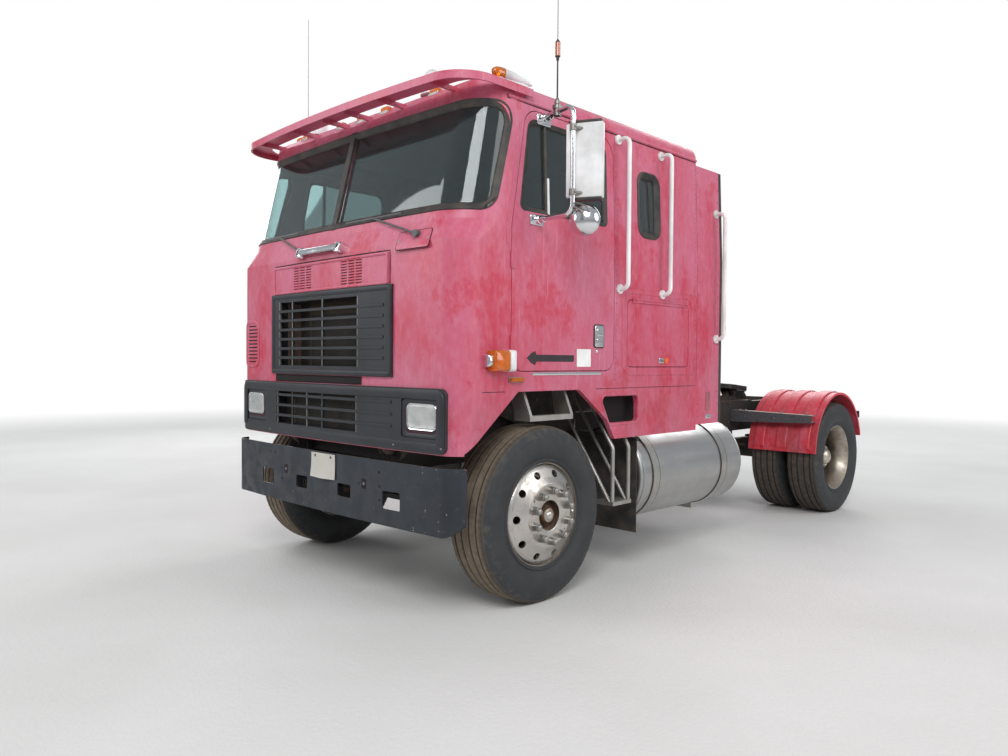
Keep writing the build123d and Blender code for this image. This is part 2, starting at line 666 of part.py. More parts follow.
def build_fender_arm(offset):
    """Channel from the rail out along the fender; its lips meet the fender."""
    start = WHEELBASE + offset
    low, high = ARM_Z
    tip_low, tip_high = ARM_TIP_Z
    face = ((RAIL_X, low, 0), (RAIL_X, high, 0), (ARM_TIP_X, tip_high, 0), (ARM_TIP_X, tip_low, 0))
    inside = ((RAIL_X - 1, low + 6, 0), (RAIL_X - 1, high - 6, 0), (ARM_TIP_X + 1, tip_high - 6, 0),
              (ARM_TIP_X + 1, tip_low + 6, 0))
    arm = front_prism(face, start, start + FENDER_ARM_DEPTH)
    web_y = start if offset < 0 else start + FENDER_ARM_DEPTH - 6
    hollow = front_prism(inside, start - 1, start + FENDER_ARM_DEPTH + 1)
    hollow -= box(0, 2000, web_y, web_y + 6, 0, 2000)
    arm -= hollow
    return arm - cross_disc(RAIL_X + 50, 1300, WHEELBASE, FENDER_Z, FENDER_R + 7 + SEAT_GAP)


nodes["rear_fenders"] = joined(both_sides(build_fender()))
nodes["fender_arms"] = joined([p for y in FENDER_ARM_Y for p in both_sides(build_fender_arm(y))])

# Tail lamps on the rails' ends
LAMP_BOX = {"width": 150, "depth": 55, "low": 885, "high": 965}


def build_tail_lamp():
    end = WHEELBASE + REAR_OVERHANG
    b = LAMP_BOX
    lamp = box(RAIL_X, RAIL_X + b["width"], end - b["depth"], end, b["low"], b["high"])
    return fillet(lamp.edges().filter_by(Axis.Y), 12)


nodes["tail_lamps"] = joined(both_sides(build_tail_lamp()))

# Fifth wheel: base with two pedestals, and the plate that rocks on their trunnions
FIFTH_Y = WHEELBASE - 440
FIFTH_Z = 1088
TRUNNION_R = 22
PEDESTAL_X = 300
PEDESTAL_W = 90
PLATE_T = 40
PLATE_HALF_W = 455
PLATE_FRONT = -290
PLATE_BACK = 360
HORN_BACK = 430
KINGPIN_BORE_R = 25.4
PLATE_TILT = 5.5
PLATE_TOP = 62
EAR_PLATE_T = 18


def build_fifth_base():
    base = box(-RAIL_X, RAIL_X, FIFTH_Y - 300, FIFTH_Y + 300, RAIL_TOP, RAIL_TOP + 12)
    parts = [base]
    for side in (-1, 1):
        x = side * (PEDESTAL_X + PEDESTAL_W / 2)
        block = side_prism(((FIFTH_Y - 130, RAIL_TOP, 0), (FIFTH_Y - 45, FIFTH_Z + 8, 30),
                            (FIFTH_Y + 45, FIFTH_Z + 8, 30), (FIFTH_Y + 130, RAIL_TOP, 0)),
                           x - PEDESTAL_W / 2 + 20, x + PEDESTAL_W / 2 - 20)
        parts.append(block)
        reach = PEDESTAL_W / 2 + 20
        parts.append(cross_disc(x - reach, x + reach, FIFTH_Y, FIFTH_Z, TRUNNION_R))
    return fused(parts)


def build_fifth_plate():
    """Plate with its throat open to the rear, ramps, jaw and ears round the trunnions."""
    top = PLATE_TOP
    face = (
        (-PLATE_HALF_W, -120, 150), (-300, PLATE_FRONT, 120), (300, PLATE_FRONT, 120),
        (PLATE_HALF_W, -120, 150), (PLATE_HALF_W, 150, 60), (330, PLATE_BACK, 30), (170, PLATE_BACK, 30),
        (KINGPIN_BORE_R, 60, 10), (KINGPIN_BORE_R, 0, 0), (-KINGPIN_BORE_R, 0, 0),
        (-KINGPIN_BORE_R, 60, 10), (-170, PLATE_BACK, 30), (-330, PLATE_BACK, 30), (-PLATE_HALF_W, 150, 60),
    )
    plate = plan_prism(face, top - PLATE_T, top)
    plate -= rod((0, 0, top - PLATE_T - 1), (0, 0, top + 1), KINGPIN_BORE_R)
    parts = [plate]
    for side in (-1, 1):
        ramp = side_prism(((PLATE_BACK - 60, top, 0), (HORN_BACK, -38, 12), (HORN_BACK - 30, -50, 8),
                           (PLATE_BACK - 90, top - PLATE_T, 0)),
                          side * 250 - 75, side * 250 + 75)
        parts.append(ramp)
        for x in (PEDESTAL_X, PEDESTAL_X + PEDESTAL_W):
            ear_in = side * x - EAR_PLATE_T / 2
            ear = side_prism(((-60, top - PLATE_T, 0), (-34, -34, 30), (34, -34, 30), (60, top - PLATE_T, 0)),
                             ear_in, ear_in + EAR_PLATE_T)
            parts.append(ear)
    jaw = box(-95, 95, -90, 62, -14, top - PLATE_T)
    jaw -= box(-KINGPIN_BORE_R, KINGPIN_BORE_R, 0, 70, -20, top)
    jaw -= rod((0, 0, -20), (0, 0, top), KINGPIN_BORE_R)
    parts.append(jaw)
    body = fused(parts)
    for side in (-1, 1):
        x = side * (PEDESTAL_X + PEDESTAL_W / 2)
        body -= cross_disc(x - 90, x + 90, 0, 0, TRUNNION_R + RUN_FIT)
    return Pos(0, FIFTH_Y, FIFTH_Z) * (Rot(-PLATE_TILT, 0, 0) * body)


nodes["fifth_wheel_base"] = build_fifth_base()
nodes["fifth_wheel_plate"] = build_fifth_plate()

# Cab shell, split where the real panels meet
DOGHOUSE_W = 450
DOGHOUSE_T = 20
DOGHOUSE_FRONT_Z = 1830
DOGHOUSE_BACK_Z = 1640
DOGHOUSE_BACK = 850
DOGHOUSE_STEP = (-380, -100)
DUCT_W = 545
DUCT_GAP = 12
SILL_LAP = 60
SILL_DEPTH = 32
SILL_LIP = 8
GRILLE_HOLE = (-534, 335, 1325, 1725)
LOWER_HOLE = (-573, 331, 952, 1169)
ROOF_CORNER_R = 105

outer_cab = cab_solid(0)
cab_wall = outer_cab - cab_solid(WALL, CAB_BACK + 10)
skirt_wall = outer_cab - cab_solid(SKIRT_WALL, CAB_BACK + 10)
CAB_REACH = CAB_HALF_W + 60


def inset_outline(corners, gap):
    """The outline drawn in by a gap on every side."""
    middle = sum((Vector(a, b) for a, b, _ in corners), Vector()) / len(corners)
    moved = []
    for i, (a, b, radius) in enumerate(corners):
        here = Vector(a, b)
        back = (Vector(*corners[i - 1][:2]) - here).normalized()
        ahead = (Vector(*corners[(i + 1) % len(corners)][:2]) - here).normalized()
        half = radians(back.get_angle(ahead)) / 2
        step = (back + ahead).normalized() * (gap / sin(half))
        sign = 1 if (middle - here).dot(step) > 0 else -1
        moved.append((here.X + sign * step.X, here.Y + sign * step.Y, max(radius - sign * gap, 1)))
    return tuple(moved)


def build_cab_front():
    wall = cab_wall & box(-CAB_REACH, CAB_REACH, CAB_FRONT - 60, PILLAR_Y, SILL_Z, ROOF_SEAM_Z)
    wall -= box(-CAB_REACH, CAB_REACH, CAB_FRONT - 60, CORNER_Y, SILL_Z - 1, FRONT_SEAM_Z)
    x0, x1, z0, z1 = GRILLE_HOLE
    wall -= box(x0, x1, CAB_FRONT - 60, PILLAR_Y, z0, z1)
    for piece in both_sides(screen_block(0)):
        wall -= piece
    return wall


def screen_block(gap):
    """Volume of one side's windscreen opening, drawn in by a gap."""
    front = inset_outline(SCREEN_FRONT, gap) if gap else SCREEN_FRONT
    side = inset_outline(SCREEN_SIDE, gap) if gap else SCREEN_SIDE
    return front_prism(front, CAB_FRONT - 60, CORNER_BACK) & side_prism(side, 0, CAB_REACH)


def build_windscreen():
    skin = cab_solid(GLASS_DEPTH) - cab_solid(GLASS_DEPTH + GLASS_T, CAB_BACK + 10)
    return both_sides(skin & screen_block(SEAT_GAP))


def build_cab_side():
    wall = cab_wall & box(CAB_HALF_W - 400, CAB_REACH, PILLAR_Y, REAR_WALL_Y, SILL_Z, ROOF_SEAM_Z)
    wall -= screen_block(0)
    for hole in (DOOR, SLEEPER_WINDOW, LOCKER):
        wall -= side_prism(hole, CAB_HALF_W - 400, CAB_REACH)
    return wall


def build_door():
    """Door with its window opening, on two hinge barrels along its front edge."""
    door = cab_wall & side_prism(inset_outline(DOOR, JOINT_GAP), CAB_HALF_W - 400, CAB_REACH)
    door -= side_prism(DOOR_WINDOW, CAB_HALF_W - 400, CAB_REACH)
    axis_x = CAB_HALF_W + BARREL_R + SEAT_GAP
    edge = DOOR[0][0] + JOINT_GAP
    for low, high in DOOR_HINGES:
        door += box(CAB_HALF_W - 1, axis_x, edge, edge + LEAF_W, low, high)
        door += box(axis_x - BARREL_R / 2, axis_x, HINGE_Y, edge + LEAF_W, low, high)
        door += rod((axis_x, HINGE_Y, low), (axis_x, HINGE_Y, high), BARREL_R)
    return door


def build_locker_door():
    """Luggage door that hangs on a long hinge barrel along its top edge."""
    front, back = LOCKER[0][0], LOCKER[2][0]
    top = LOCKER[1][1]
    door = cab_wall & side_prism(inset_outline(LOCKER, JOINT_GAP), CAB_HALF_W - 400, CAB_REACH)
    axis_x = CAB_HALF_W + BARREL_R + SEAT_GAP
    axis_z = top + BARREL_R / 2
    barrel = rod((axis_x, front + 50, axis_z), (axis_x, back - 50, axis_z), BARREL_R)
    leaf = box(CAB_HALF_W - 1, axis_x, front + 50, back - 50, top - 3 * BARREL_R, top - JOINT_GAP)
    leaf += box(axis_x - BARREL_R / 2, axis_x, front + 50, back - 50, top - 3 * BARREL_R, axis_z)
    return door + leaf + barrel


def side_glass(hole):
    skin = cab_solid(GLASS_DEPTH) - cab_solid(GLASS_DEPTH + GLASS_T, CAB_BACK + 10)
    return skin & side_prism(inset_outline(hole, SEAT_GAP), CAB_HALF_W - 400, CAB_REACH)


def build_cab_rear():
    return outer_cab & box(-CAB_REACH, CAB_REACH, REAR_WALL_Y, CAB_BACK, SILL_Z, ROOF_SEAM_Z)


def roof_solid(inset):
    """Outside of the roof above its seam, drawn in by inset all round."""
    z, half_w, nose, sag, radius = SECTIONS[-1]
    high = ROOF_TOP_Z - z
    corner_z = z + ROOF_CORNER_R - inset
    w = half_w - inset
    r = ROOF_CORNER_R - inset / 2
    top = ROOF_TOP_Z - inset
    plan = extrude(nose_face(z, w, nose + inset, sag, radius - inset, CAB_BACK), high + 20)
    turn = (w - r * (1 - cos(pi / 4)), corner_z - r + r * sin(pi / 4))
    section = [
        ThreePointArc((w, corner_z - r), turn, (w - r, corner_z)),
        ThreePointArc((w - r, corner_z), (0, top), (r - w, corner_z)),
        ThreePointArc((r - w, corner_z), (-turn[0], turn[1]), (-w, corner_z - r)),
        Line((-w, corner_z - r), (-w, z - 60)),
        Line((-w, z - 60), (w, z - 60)),
        Line((w, z - 60), (w, corner_z - r)),
    ]
    plane = Plane((0, -900, 0), x_dir=(1, 0, 0), z_dir=(0, -1, 0))
    across = extrude(plane * Face(Wire(section)), 3000, dir=(0, 1, 0))
    side = (
        (nose + inset, z - 60, 0), (nose + inset, z + 12 - inset / 3, 8), (nose + 62, z + 78 - inset, 50),
        (nose + 240, top + 8 - inset / 3, 160), (CAB_BACK - inset, top + 8, 60),
        (CAB_BACK - inset, z - 60, 0),
    )
    return plan & across & side_prism(side, -CAB_REACH, CAB_REACH)


def engine_cover(grow):
    """Tunnel over the engine and the wide duct in front of it, grown by a margin."""
    front = CAB_FRONT + WALL + DUCT_GAP
    step_a, step_b = DOGHOUSE_STEP
    base = SILL_Z - 10 if grow < 0 else SILL_Z
    start = front - 90 if grow < 0 else front
    tunnel = side_prism((
        (start, base, 0), (start, DOGHOUSE_FRONT_Z + grow, 0), (step_a, DOGHOUSE_FRONT_Z + grow, 0),
        (step_b, DOGHOUSE_BACK_Z + grow, 0), (DOGHOUSE_BACK + grow, DOGHOUSE_BACK_Z + grow, 0),
        (DOGHOUSE_BACK + grow, base, 0),
    ), -DOGHOUSE_W - grow, DOGHOUSE_W + grow)
    return tunnel + box(-DUCT_W - grow, DUCT_W + grow, start, step_a + grow, base, DOGHOUSE_FRONT_Z + grow)


def build_floor():
    """Floor pan round the engine's opening, with the cross sill and arms that carry it on the pivots."""
    inner = cab_solid(WALL, REAR_WALL_Y)
    floor = inner & box(-CAB_REACH, CAB_REACH, CAB_FRONT, REAR_WALL_Y, SILL_Z, SILL_Z + FLOOR_T)
    body = floor - engine_cover(-DOGHOUSE_T)
    sill_w = DUCT_W + SILL_LAP
    body += box(-sill_w, sill_w, PIVOT_Y - PIVOT_BOSS_R, PIVOT_Y + SILL_DEPTH,
                SILL_Z - SILL_DEPTH, SILL_Z + SILL_LIP)
    arm_x = RAIL_X + PIVOT_PLATE + 1
    arm = side_prism((
        (PIVOT_Y - PIVOT_BOSS_R, SILL_Z + SILL_LIP, 0), (PIVOT_Y - PIVOT_BOSS_R, PIVOT_Z - PIVOT_BOSS_R, 40),
        (PIVOT_Y + PIVOT_BOSS_R, PIVOT_Z - PIVOT_BOSS_R, 40), (PIVOT_Y + SILL_DEPTH, SILL_Z + SILL_LIP, 0),
    ), arm_x, arm_x + PIVOT_PLATE)
    for piece in both_sides(arm):
        body += piece
    reach = RAIL_X + 3 * PIVOT_PLATE
    return body - cross_disc(-reach, reach, PIVOT_Y, PIVOT_Z, PIVOT_R + RUN_FIT)


def build_engine_cover():
    """Sheet box over the engine that stands on the floor round its opening."""
    shell = engine_cover(0) - engine_cover(-DOGHOUSE_T)
    below = SILL_Z + FLOOR_T + SEAT_GAP
    return shell - box(-CAB_REACH, CAB_REACH, CAB_FRONT, REAR_WALL_Y, SILL_Z - 100, below)


def build_skirts():
    band = skirt_wall & box(CAB_HALF_W - 60, CAB_REACH, CORNER_Y, CAB_BACK, SKIRT_Z, SILL_Z)
    band -= side_prism(ARCH, CAB_HALF_W - 400, CAB_REACH)
    band -= side_prism(STEP_POCKET, CAB_HALF_W - 400, CAB_REACH)
    return joined(both_sides(band))


def build_lower_panel():
    panel = skirt_wall & box(-CAB_REACH, CAB_REACH, CAB_FRONT - 60, CORNER_Y, PANEL_BOTTOM_Z, FRONT_SEAM_Z)
    x0, x1, z0, z1 = LOWER_HOLE
    return panel - box(x0, x1, CAB_FRONT - 60, CORNER_Y, z0, z1)


nodes["cab_front"] = build_cab_front()
nodes["cab_glass"] = joined(build_windscreen() + both_sides(side_glass(SLEEPER_WINDOW)))
nodes["cab_sides"] = joined(both_sides(build_cab_side()))
door = build_door()
door_glass = side_glass(DOOR_WINDOW)
locker = build_locker_door()
for piece, name in ((door, "door"), (door_glass, "door_glass"), (locker, "locker_door")):
    left, right = both_sides(piece)
    nodes[f"{name}_left"] = left
    nodes[f"{name}_right"] = right
nodes["cab_rear"] = build_cab_rear()
roof_block = roof_solid(0)
nodes["cab_roof"] = roof_block - roof_solid(WALL)
nodes["cab_floor"] = build_floor()
nodes["engine_cover"] = build_engine_cover()
nodes["side_skirts"] = build_skirts()
nodes["lower_panel"] = build_lower_panel()

# Fairings behind the cab, with a rubber edge on each
FAIRING_BOTTOM = 922
FAIRING_TOP = ROOF_SEAM_Z - 37
RUBBER_W = 45
RUBBER_T = 10


def build_fairing():
    skin = cab_solid(0, FAIRING_BACK) - cab_solid(FAIRING_T, FAIRING_BACK + 10)
    panel = skin & box(CAB_HALF_W - 200, CAB_REACH, CAB_BACK, FAIRING_BACK, FAIRING_BOTTOM, FAIRING_TOP)
    rubber_skin = cab_solid(RUBBER_T / 2, FAIRING_BACK + RUBBER_W)
    rubber_skin -= cab_solid(RUBBER_T * 1.5, FAIRING_BACK + 2 * RUBBER_W)
    rubber = rubber_skin & box(CAB_HALF_W - 200, CAB_REACH, FAIRING_BACK, FAIRING_BACK + RUBBER_W,
                               FAIRING_BOTTOM, FAIRING_TOP)
    return panel, rubber


fairing, rubber = build_fairing()
nodes["side_fairings"] = joined(both_sides(fairing))
nodes["fairing_rubbers"] = joined(both_sides(rubber))

# Front grilles: slats and posts between frames, set against the cab's face
GRILLE_FRAME = (-640, 640, 1271, 1777)
SLAT_ROWS = (1374, 1432, 1491, 1550, 1608, 1667)
GRILLE_POSTS = (-369, -22)
SLAT_END = 570
SLAT_H = 16
GRILLE_PROUD = 12
LOWER_ROWS = (1005, 1070, 1136)
LOUVRE_PANEL = (-605, 605, 1779, 1953)
LOUVRE_PROUD = 10
LOUVRE_GROUPS = (-252, 272)
LOUVRE_ROWS = 9
LOUVRE_COLS = (-72, 0, 72)


def face_band(proud, depth, x0, x1, z0, z1):
    """Piece of the cab's crowned face between two depths, inside a rectangle."""
    half_w, nose, sag, radius = SECTIONS[0][1:]
    outer = nose_face(z0, half_w + proud, nose - proud, sag, radius, PILLAR_Y)
    inner = nose_face(z0, half_w - depth, nose + depth, sag, radius, PILLAR_Y + 10)
    band = extrude(outer, z1 - z0) - extrude(inner, z1 - z0)
    return band & box(x0, x1, CAB_FRONT - 90, CORNER_Y, z0, z1)


def build_grille(frame, hole, rows, slat_end):
    """Frame with an opening, slats that run on as ribs past it, and two posts."""
    x0, x1, z0, z1 = frame
    a, b, c, d = hole
    body = face_band(GRILLE_PROUD, 0, x0, x1, z0, z1) - box(a, b, CAB_FRONT - 90, CORNER_Y, c, d)
    parts = [body]
    for z in rows:
        parts.append(face_band(GRILLE_PROUD + 4, -4, a - 2, slat_end, z - SLAT_H / 2, z + SLAT_H / 2))
    for x in GRILLE_POSTS:
        parts.append(face_band(GRILLE_PROUD, 0, x - 8, x + 8, c - 2, d + 2))
    return fused(parts)


def build_louvres():
    panel = face_band(LOUVRE_PROUD, 0, *LOUVRE_PANEL)
    low, high = LOUVRE_PANEL[2:]
    step = (high - low - 30) / LOUVRE_ROWS
    for group in LOUVRE_GROUPS:
        for col in LOUVRE_COLS:
            for row in range(LOUVRE_ROWS):
                z = low + 15 + step * (row + 0.5)
                panel -= box(group + col - 29, group + col + 29, CAB_FRONT - 60, CAB_FRONT - 4, z - 3, z + 3)
    return panel


upper_grille = build_grille(GRILLE_FRAME, GRILLE_HOLE, SLAT_ROWS, SLAT_END)
nodes["louvre_panel"] = build_louvres()

# Dark band across the lower panel with the lower grille, and a lamp in a bezel at each end
BEZEL = (CAB_HALF_W - 420, CAB_HALF_W - 134, 954, 1158)
BEZEL_PROUD = 4
LAMP = (CAB_HALF_W - 377, CAB_HALF_W - 157, 1000, 1132)
LAMP_PROUD = 10
BAND = (87 - CAB_HALF_W, CAB_HALF_W - 87, 880, 1218)
BAND_SLAT_END = 640
BAND_CORNER_R = 36


def rectangle(x0, x1, z0, z1, radius):
    """Outline of a rectangle with round corners, as seen from the front."""
    return (x0, z0, radius), (x0, z1, radius), (x1, z1, radius), (x1, z0, radius)


def build_lower_band():
    band = build_grille(BAND, LOWER_HOLE, LOWER_ROWS, BAND_SLAT_END)
    band &= front_prism(rectangle(*BAND, BAND_CORNER_R), CAB_FRONT - 90, CORNER_Y)
    hole = front_prism(rectangle(*BEZEL, 14), CAB_FRONT - 90, CORNER_Y)
    for piece in both_sides(hole):
        band -= piece
    return band


def build_headlamp():
    """Bezel sunk in the band, with one rectangular lens."""
    x0, x1, z0, z1 = BEZEL
    window = front_prism(rectangle(x0 + SEAT_GAP, x1 - SEAT_GAP, z0 + SEAT_GAP, z1 - SEAT_GAP, 14),
                         CAB_FRONT - 90, CORNER_Y)
    bezel = face_band(BEZEL_PROUD, 0, *BEZEL) & window
    return bezel + face_band(LAMP_PROUD, 0, *LAMP)


nodes["headlamps"] = joined(both_sides(build_headlamp()))
nodes["front_grilles"] = joined([upper_grille, build_lower_band()])

# Lamps on the cab's sides: front and back station, low and high height, how far they stand out
SIDE_LAMPS = ((-496, -302, 1308, 1421, 62), (-304, -192, 1246, 1278, 22))


def build_side_lamp(front, back, low, high, proud):
    lamp = box(CAB_HALF_W - 30, CAB_HALF_W + proud, front, back, low, high)
    lamp = fillet(lamp.faces().sort_by(Axis.X)[-1].edges(), 10)
    return lamp - outer_cab


nodes["side_lamps"] = joined([p for lamp in SIDE_LAMPS for p in both_sides(build_side_lamp(*lamp))])

# Wipers: pivot X and height, X where the arm meets the blade, X of the blade's two ends
WIPERS = ((826, 2030, 392, 126, 637), (-295, 2038, -649, -840, -410))
WIPER_Z = 2166
BLADE_R = 8
ARM_R = 6
BLADE_SINK = 6
ARM_STAND = 9


def face_y(x, z):
    """Station of the crowned face at a point, between the sections' own heights."""
    for low, high in zip(SECTIONS, SECTIONS[1:]):
        if z <= high[0]:
            break
    share = (z - low[0]) / (high[0] - low[0])
    half_w, nose, sag, radius = (a + (b - a) * share for a, b in zip(low[1:], high[1:]))
    return nose + sag * (x / (half_w - radius)) ** 2


def build_wiper(pivot_x, pivot_z, arm_x, blade_start, blade_end):
    pivot_y = face_y(pivot_x, pivot_z)
    boss = rod((pivot_x, pivot_y + 20, pivot_z), (pivot_x, pivot_y - 30, pivot_z), 19) - outer_cab
    rest_y = face_y(arm_x, WIPER_Z)
    arm = rod((pivot_x, pivot_y - 22, pivot_z), (arm_x, rest_y - ARM_STAND, WIPER_Z), ARM_R)
    stalk = rod((arm_x, rest_y - ARM_STAND - 4, WIPER_Z), (arm_x, rest_y + BLADE_SINK, WIPER_Z), ARM_R - 1)
    ends = [(x, face_y(x, WIPER_Z) + BLADE_SINK, WIPER_Z) for x in (blade_start, blade_end)]
    return fused([boss, arm, stalk, rod(*ends, BLADE_R)])


nodes["wipers"] = joined([build_wiper(*wiper) for wiper in WIPERS])

# Sun visor that stands off the roof's front edge on brackets
VISOR_NOSE = -712
VISOR_DEPTH = 160
VISOR_LOW = ROOF_SEAM_Z + 15
VISOR_HIGH = VISOR_LOW + 42
VISOR_T = 8
VISOR_END = -130
VISOR_FIT = 31
VISOR_CORNER_R = 230
VISOR_BRACKETS = (263 - CAB_HALF_W, -450, -117, 117, 450, CAB_HALF_W - 263)


def visor_face(inset, z, back):
    return nose_face(z, CAB_HALF_W + 4 - inset, VISOR_NOSE + inset, 40, VISOR_CORNER_R, back)


def build_visor():
    height = VISOR_HIGH - VISOR_LOW
    rim = extrude(visor_face(0, VISOR_LOW, VISOR_END), height)
    rim -= extrude(visor_face(VISOR_T, VISOR_LOW, VISOR_END + 50), height)
    top = extrude(visor_face(0, VISOR_HIGH - VISOR_T, VISOR_END), VISOR_T)
    hole = nose_face(VISOR_LOW, CAB_HALF_W - VISOR_FIT, VISOR_NOSE + VISOR_DEPTH, 36, 200, VISOR_END + 50)
    top -= extrude(hole, height + 10)
    body = rim + top
    for x in VISOR_BRACKETS:
        bracket = box(x - 8, x + 8, VISOR_NOSE + 60, SECTIONS[-1][2] + 90,
                      VISOR_HIGH - 34, VISOR_HIGH - VISOR_T)
        bracket -= roof_block
        body += bracket
    for side in (-1, 1):
        x = side * (CAB_HALF_W - 12)
        tab = box(x - 18, x + 18, -260, -180, VISOR_LOW, VISOR_HIGH - 2)
        body += tab - roof_block
    return body


# Lamps on the roof: amber markers behind the visor, torpedo lamps and two domes
MARKERS = (-670, -234, 0, 234, 670)
MARKER_W = 90
TORPEDO_X = CAB_HALF_W - 143
TORPEDO_R = 34
DOME_X = 594
DOME_Y = -380
DOME_R = 70


def roof_height(x, y):
    """Height of the roof's outside above a point."""
    ray = box(x - 1, x + 1, y - 1, y + 1, ROOF_SEAM_Z - 60, ROOF_TOP_Z + 60) & roof_block
    return ray.bounding_box().max.Z


def build_marker_lamps():
    lamps = []
    nose = SECTIONS[-1][2]
    for x in MARKERS:
        y = nose + 45 + abs(x) / 30
        base = roof_height(x, y)
        lamp = box(x - MARKER_W / 2, x + MARKER_W / 2, y - 22, y + 30, base - 40, base + 22)
        lamps.append(lamp - roof_block)
    for side in (-1, 1):
        x = side * TORPEDO_X
        y0 = -330
        base = roof_height(x, -150)
        body = rod((x, y0 + 60, base + TORPEDO_R + 12), (x, 20, base + TORPEDO_R), TORPEDO_R)
        nose_cap = Pos(x, y0 + 60, base + TORPEDO_R + 12) * Sphere(TORPEDO_R)
        foot = box(x - 14, x + 14, -230, -120, base - 30, base + TORPEDO_R) - roof_block
        lamps.append(body + nose_cap + foot)
    return lamps


def build_domes():
    domes = []
    for side in (-1, 1):
        x = side * DOME_X
        base = roof_height(x, DOME_Y)
        stem = rod((x, DOME_Y, base - 40), (x, DOME_Y, base + 70), 26) - roof_block
        cap = Pos(x, DOME_Y, base + 70) * Sphere(DOME_R)
        cap &= box(x - 90, x + 90, DOME_Y - 90, DOME_Y + 90, base + 55, base + 300)
        domes.append(stem + cap)
    return domes


# Grab rails: surface X, station, low and high height
RAIL_TUBE_R = 14
RAIL_STAND = 65
GRAB_RAILS = (
    (680, 1815, ROOF_SEAM_Z - 45), (1153, 1810, ROOF_SEAM_Z - 58), (1860, 1533, ROOF_SEAM_Z - 345),
)


def side_x(z):
    """X of the cab's side at a height."""
    for (z0, w0, *_), (z1, w1, *_) in zip(SECTIONS, SECTIONS[1:]):
        if z <= z1:
            return w0 + (w1 - w0) * max(z - z0, 0) / (z1 - z0)
    return SECTIONS[-1][1]


def build_grab_rail(y, low, high):
    out = CAB_HALF_W + RAIL_STAND
    points = [(side_x(low) - 20, y, low), (out, y, low), (out, y, high), (side_x(high) - 20, y, high)]
    tube = tube_path(points, 40, RAIL_TUBE_R)
    flanges = [cross_disc(side_x(z) - 20, side_x(z) + 10, y, z, 30) for z in (low, high)]
    return fused([tube] + flanges) - side_block


# Steps that hang from the cab: a U bar in the wheel arch and a braced lower step
UPPER_STEP = {"front": -118, "back": 253, "z": 1043, "in": CAB_HALF_W - 133, "out": CAB_HALF_W - 13}
LOWER_STEP = {"front": 640, "back": 832, "z": 476, "x": CAB_HALF_W - 15, "plate": 24}
STEP_TUBE_R = 13
HOOP_TOP_X = CAB_HALF_W - 273
BRACE_TOP_X = CAB_HALF_W - 533


def build_upper_step():
    s = UPPER_STEP
    tread = box(s["in"], s["out"], s["front"], s["back"], s["z"] - 15, s["z"] + 15)
    tread -= box(s["in"] - 1, s["out"] - 45, s["front"] + 20, s["back"] - 20, s["z"] - 16, s["z"] + 16)
    legs = []
    for y in (s["front"], s["back"] - 20):
        legs.append(front_prism((
            (s["in"] - 30, SILL_Z, 0), (s["in"] + 60, SILL_Z, 0), (s["out"], s["z"] + 15, 0),
            (s["out"], s["z"] - 15, 0), (s["in"], s["z"] - 15, 0),
        ), y, y + 20))
    return fused([tread] + legs)


def build_lower_step():
    s = LOWER_STEP
    half = s["plate"] / 2
    parts = [box(s["x"] - 130, s["x"] + 12, s["front"], s["back"], s["z"] - half, s["z"] + half)]
    for y in (s["front"] + STEP_TUBE_R, s["back"] - STEP_TUBE_R):
        points = [(s["x"] - 4, y, s["z"]), (s["x"] - 4, y, SKIRT_Z - 60), (HOOP_TOP_X, y, SILL_Z + 20)]
        hoop = tube_path(points, 60, STEP_TUBE_R)
        brace = rod((s["x"] - 20, y, s["z"]), (BRACE_TOP_X, y, SILL_Z + 20), STEP_TUBE_R - 2)
        parts += [hoop, brace]
    return fused(parts) - box(0, 2000, 0, 2000, SILL_Z, SILL_Z + 100)


# Solid block of the sides, for trimming what sits on them
side_block = cab_solid(0, FAIRING_BACK)

nodes["visor"] = build_visor()
nodes["roof_lamps"] = joined(build_marker_lamps() + build_domes())
nodes["grab_rails"] = joined([p for rail in GRAB_RAILS for p in both_sides(build_grab_rail(*rail))])
nodes["cab_steps"] = joined(both_sides(build_upper_step()) + both_sides(build_lower_step()))

# Mirrors on the doors: tube hoop between two brackets, tall head and round head below
MIRROR_TUBE_X = CAB_HALF_W + 257
MIRROR_TUBE_Y = -95
MIRROR_TUBE_R = 14
MIRROR_HIGH = ROOF_SEAM_Z - 70
MIRROR_LOW = 2140
HEAD = {"w": 195, "h": 425, "t": 58, "yaw": 25, "x": CAB_HALF_W + 282, "y": -19, "z": MIRROR_HIGH - 287}
CLAMP_REACH = 170
TUBE_BEND = 60
BRACKET_T = 16
ANTENNA_X = CAB_HALF_W + 110
# Whip on the upper bracket, lowest first: low and high height, radius
ANTENNA = (
    (MIRROR_HIGH, MIRROR_HIGH + 70, 15), (MIRROR_HIGH + 60, MIRROR_HIGH + 290, 5),
    (MIRROR_HIGH + 280, MIRROR_HIGH + 390, 15), (MIRROR_HIGH + 380, 3950, 3),
)
ROUND_HEAD = {"r": 84, "x": CAB_HALF_W + 297, "y": -45, "z": MIRROR_LOW - 28}


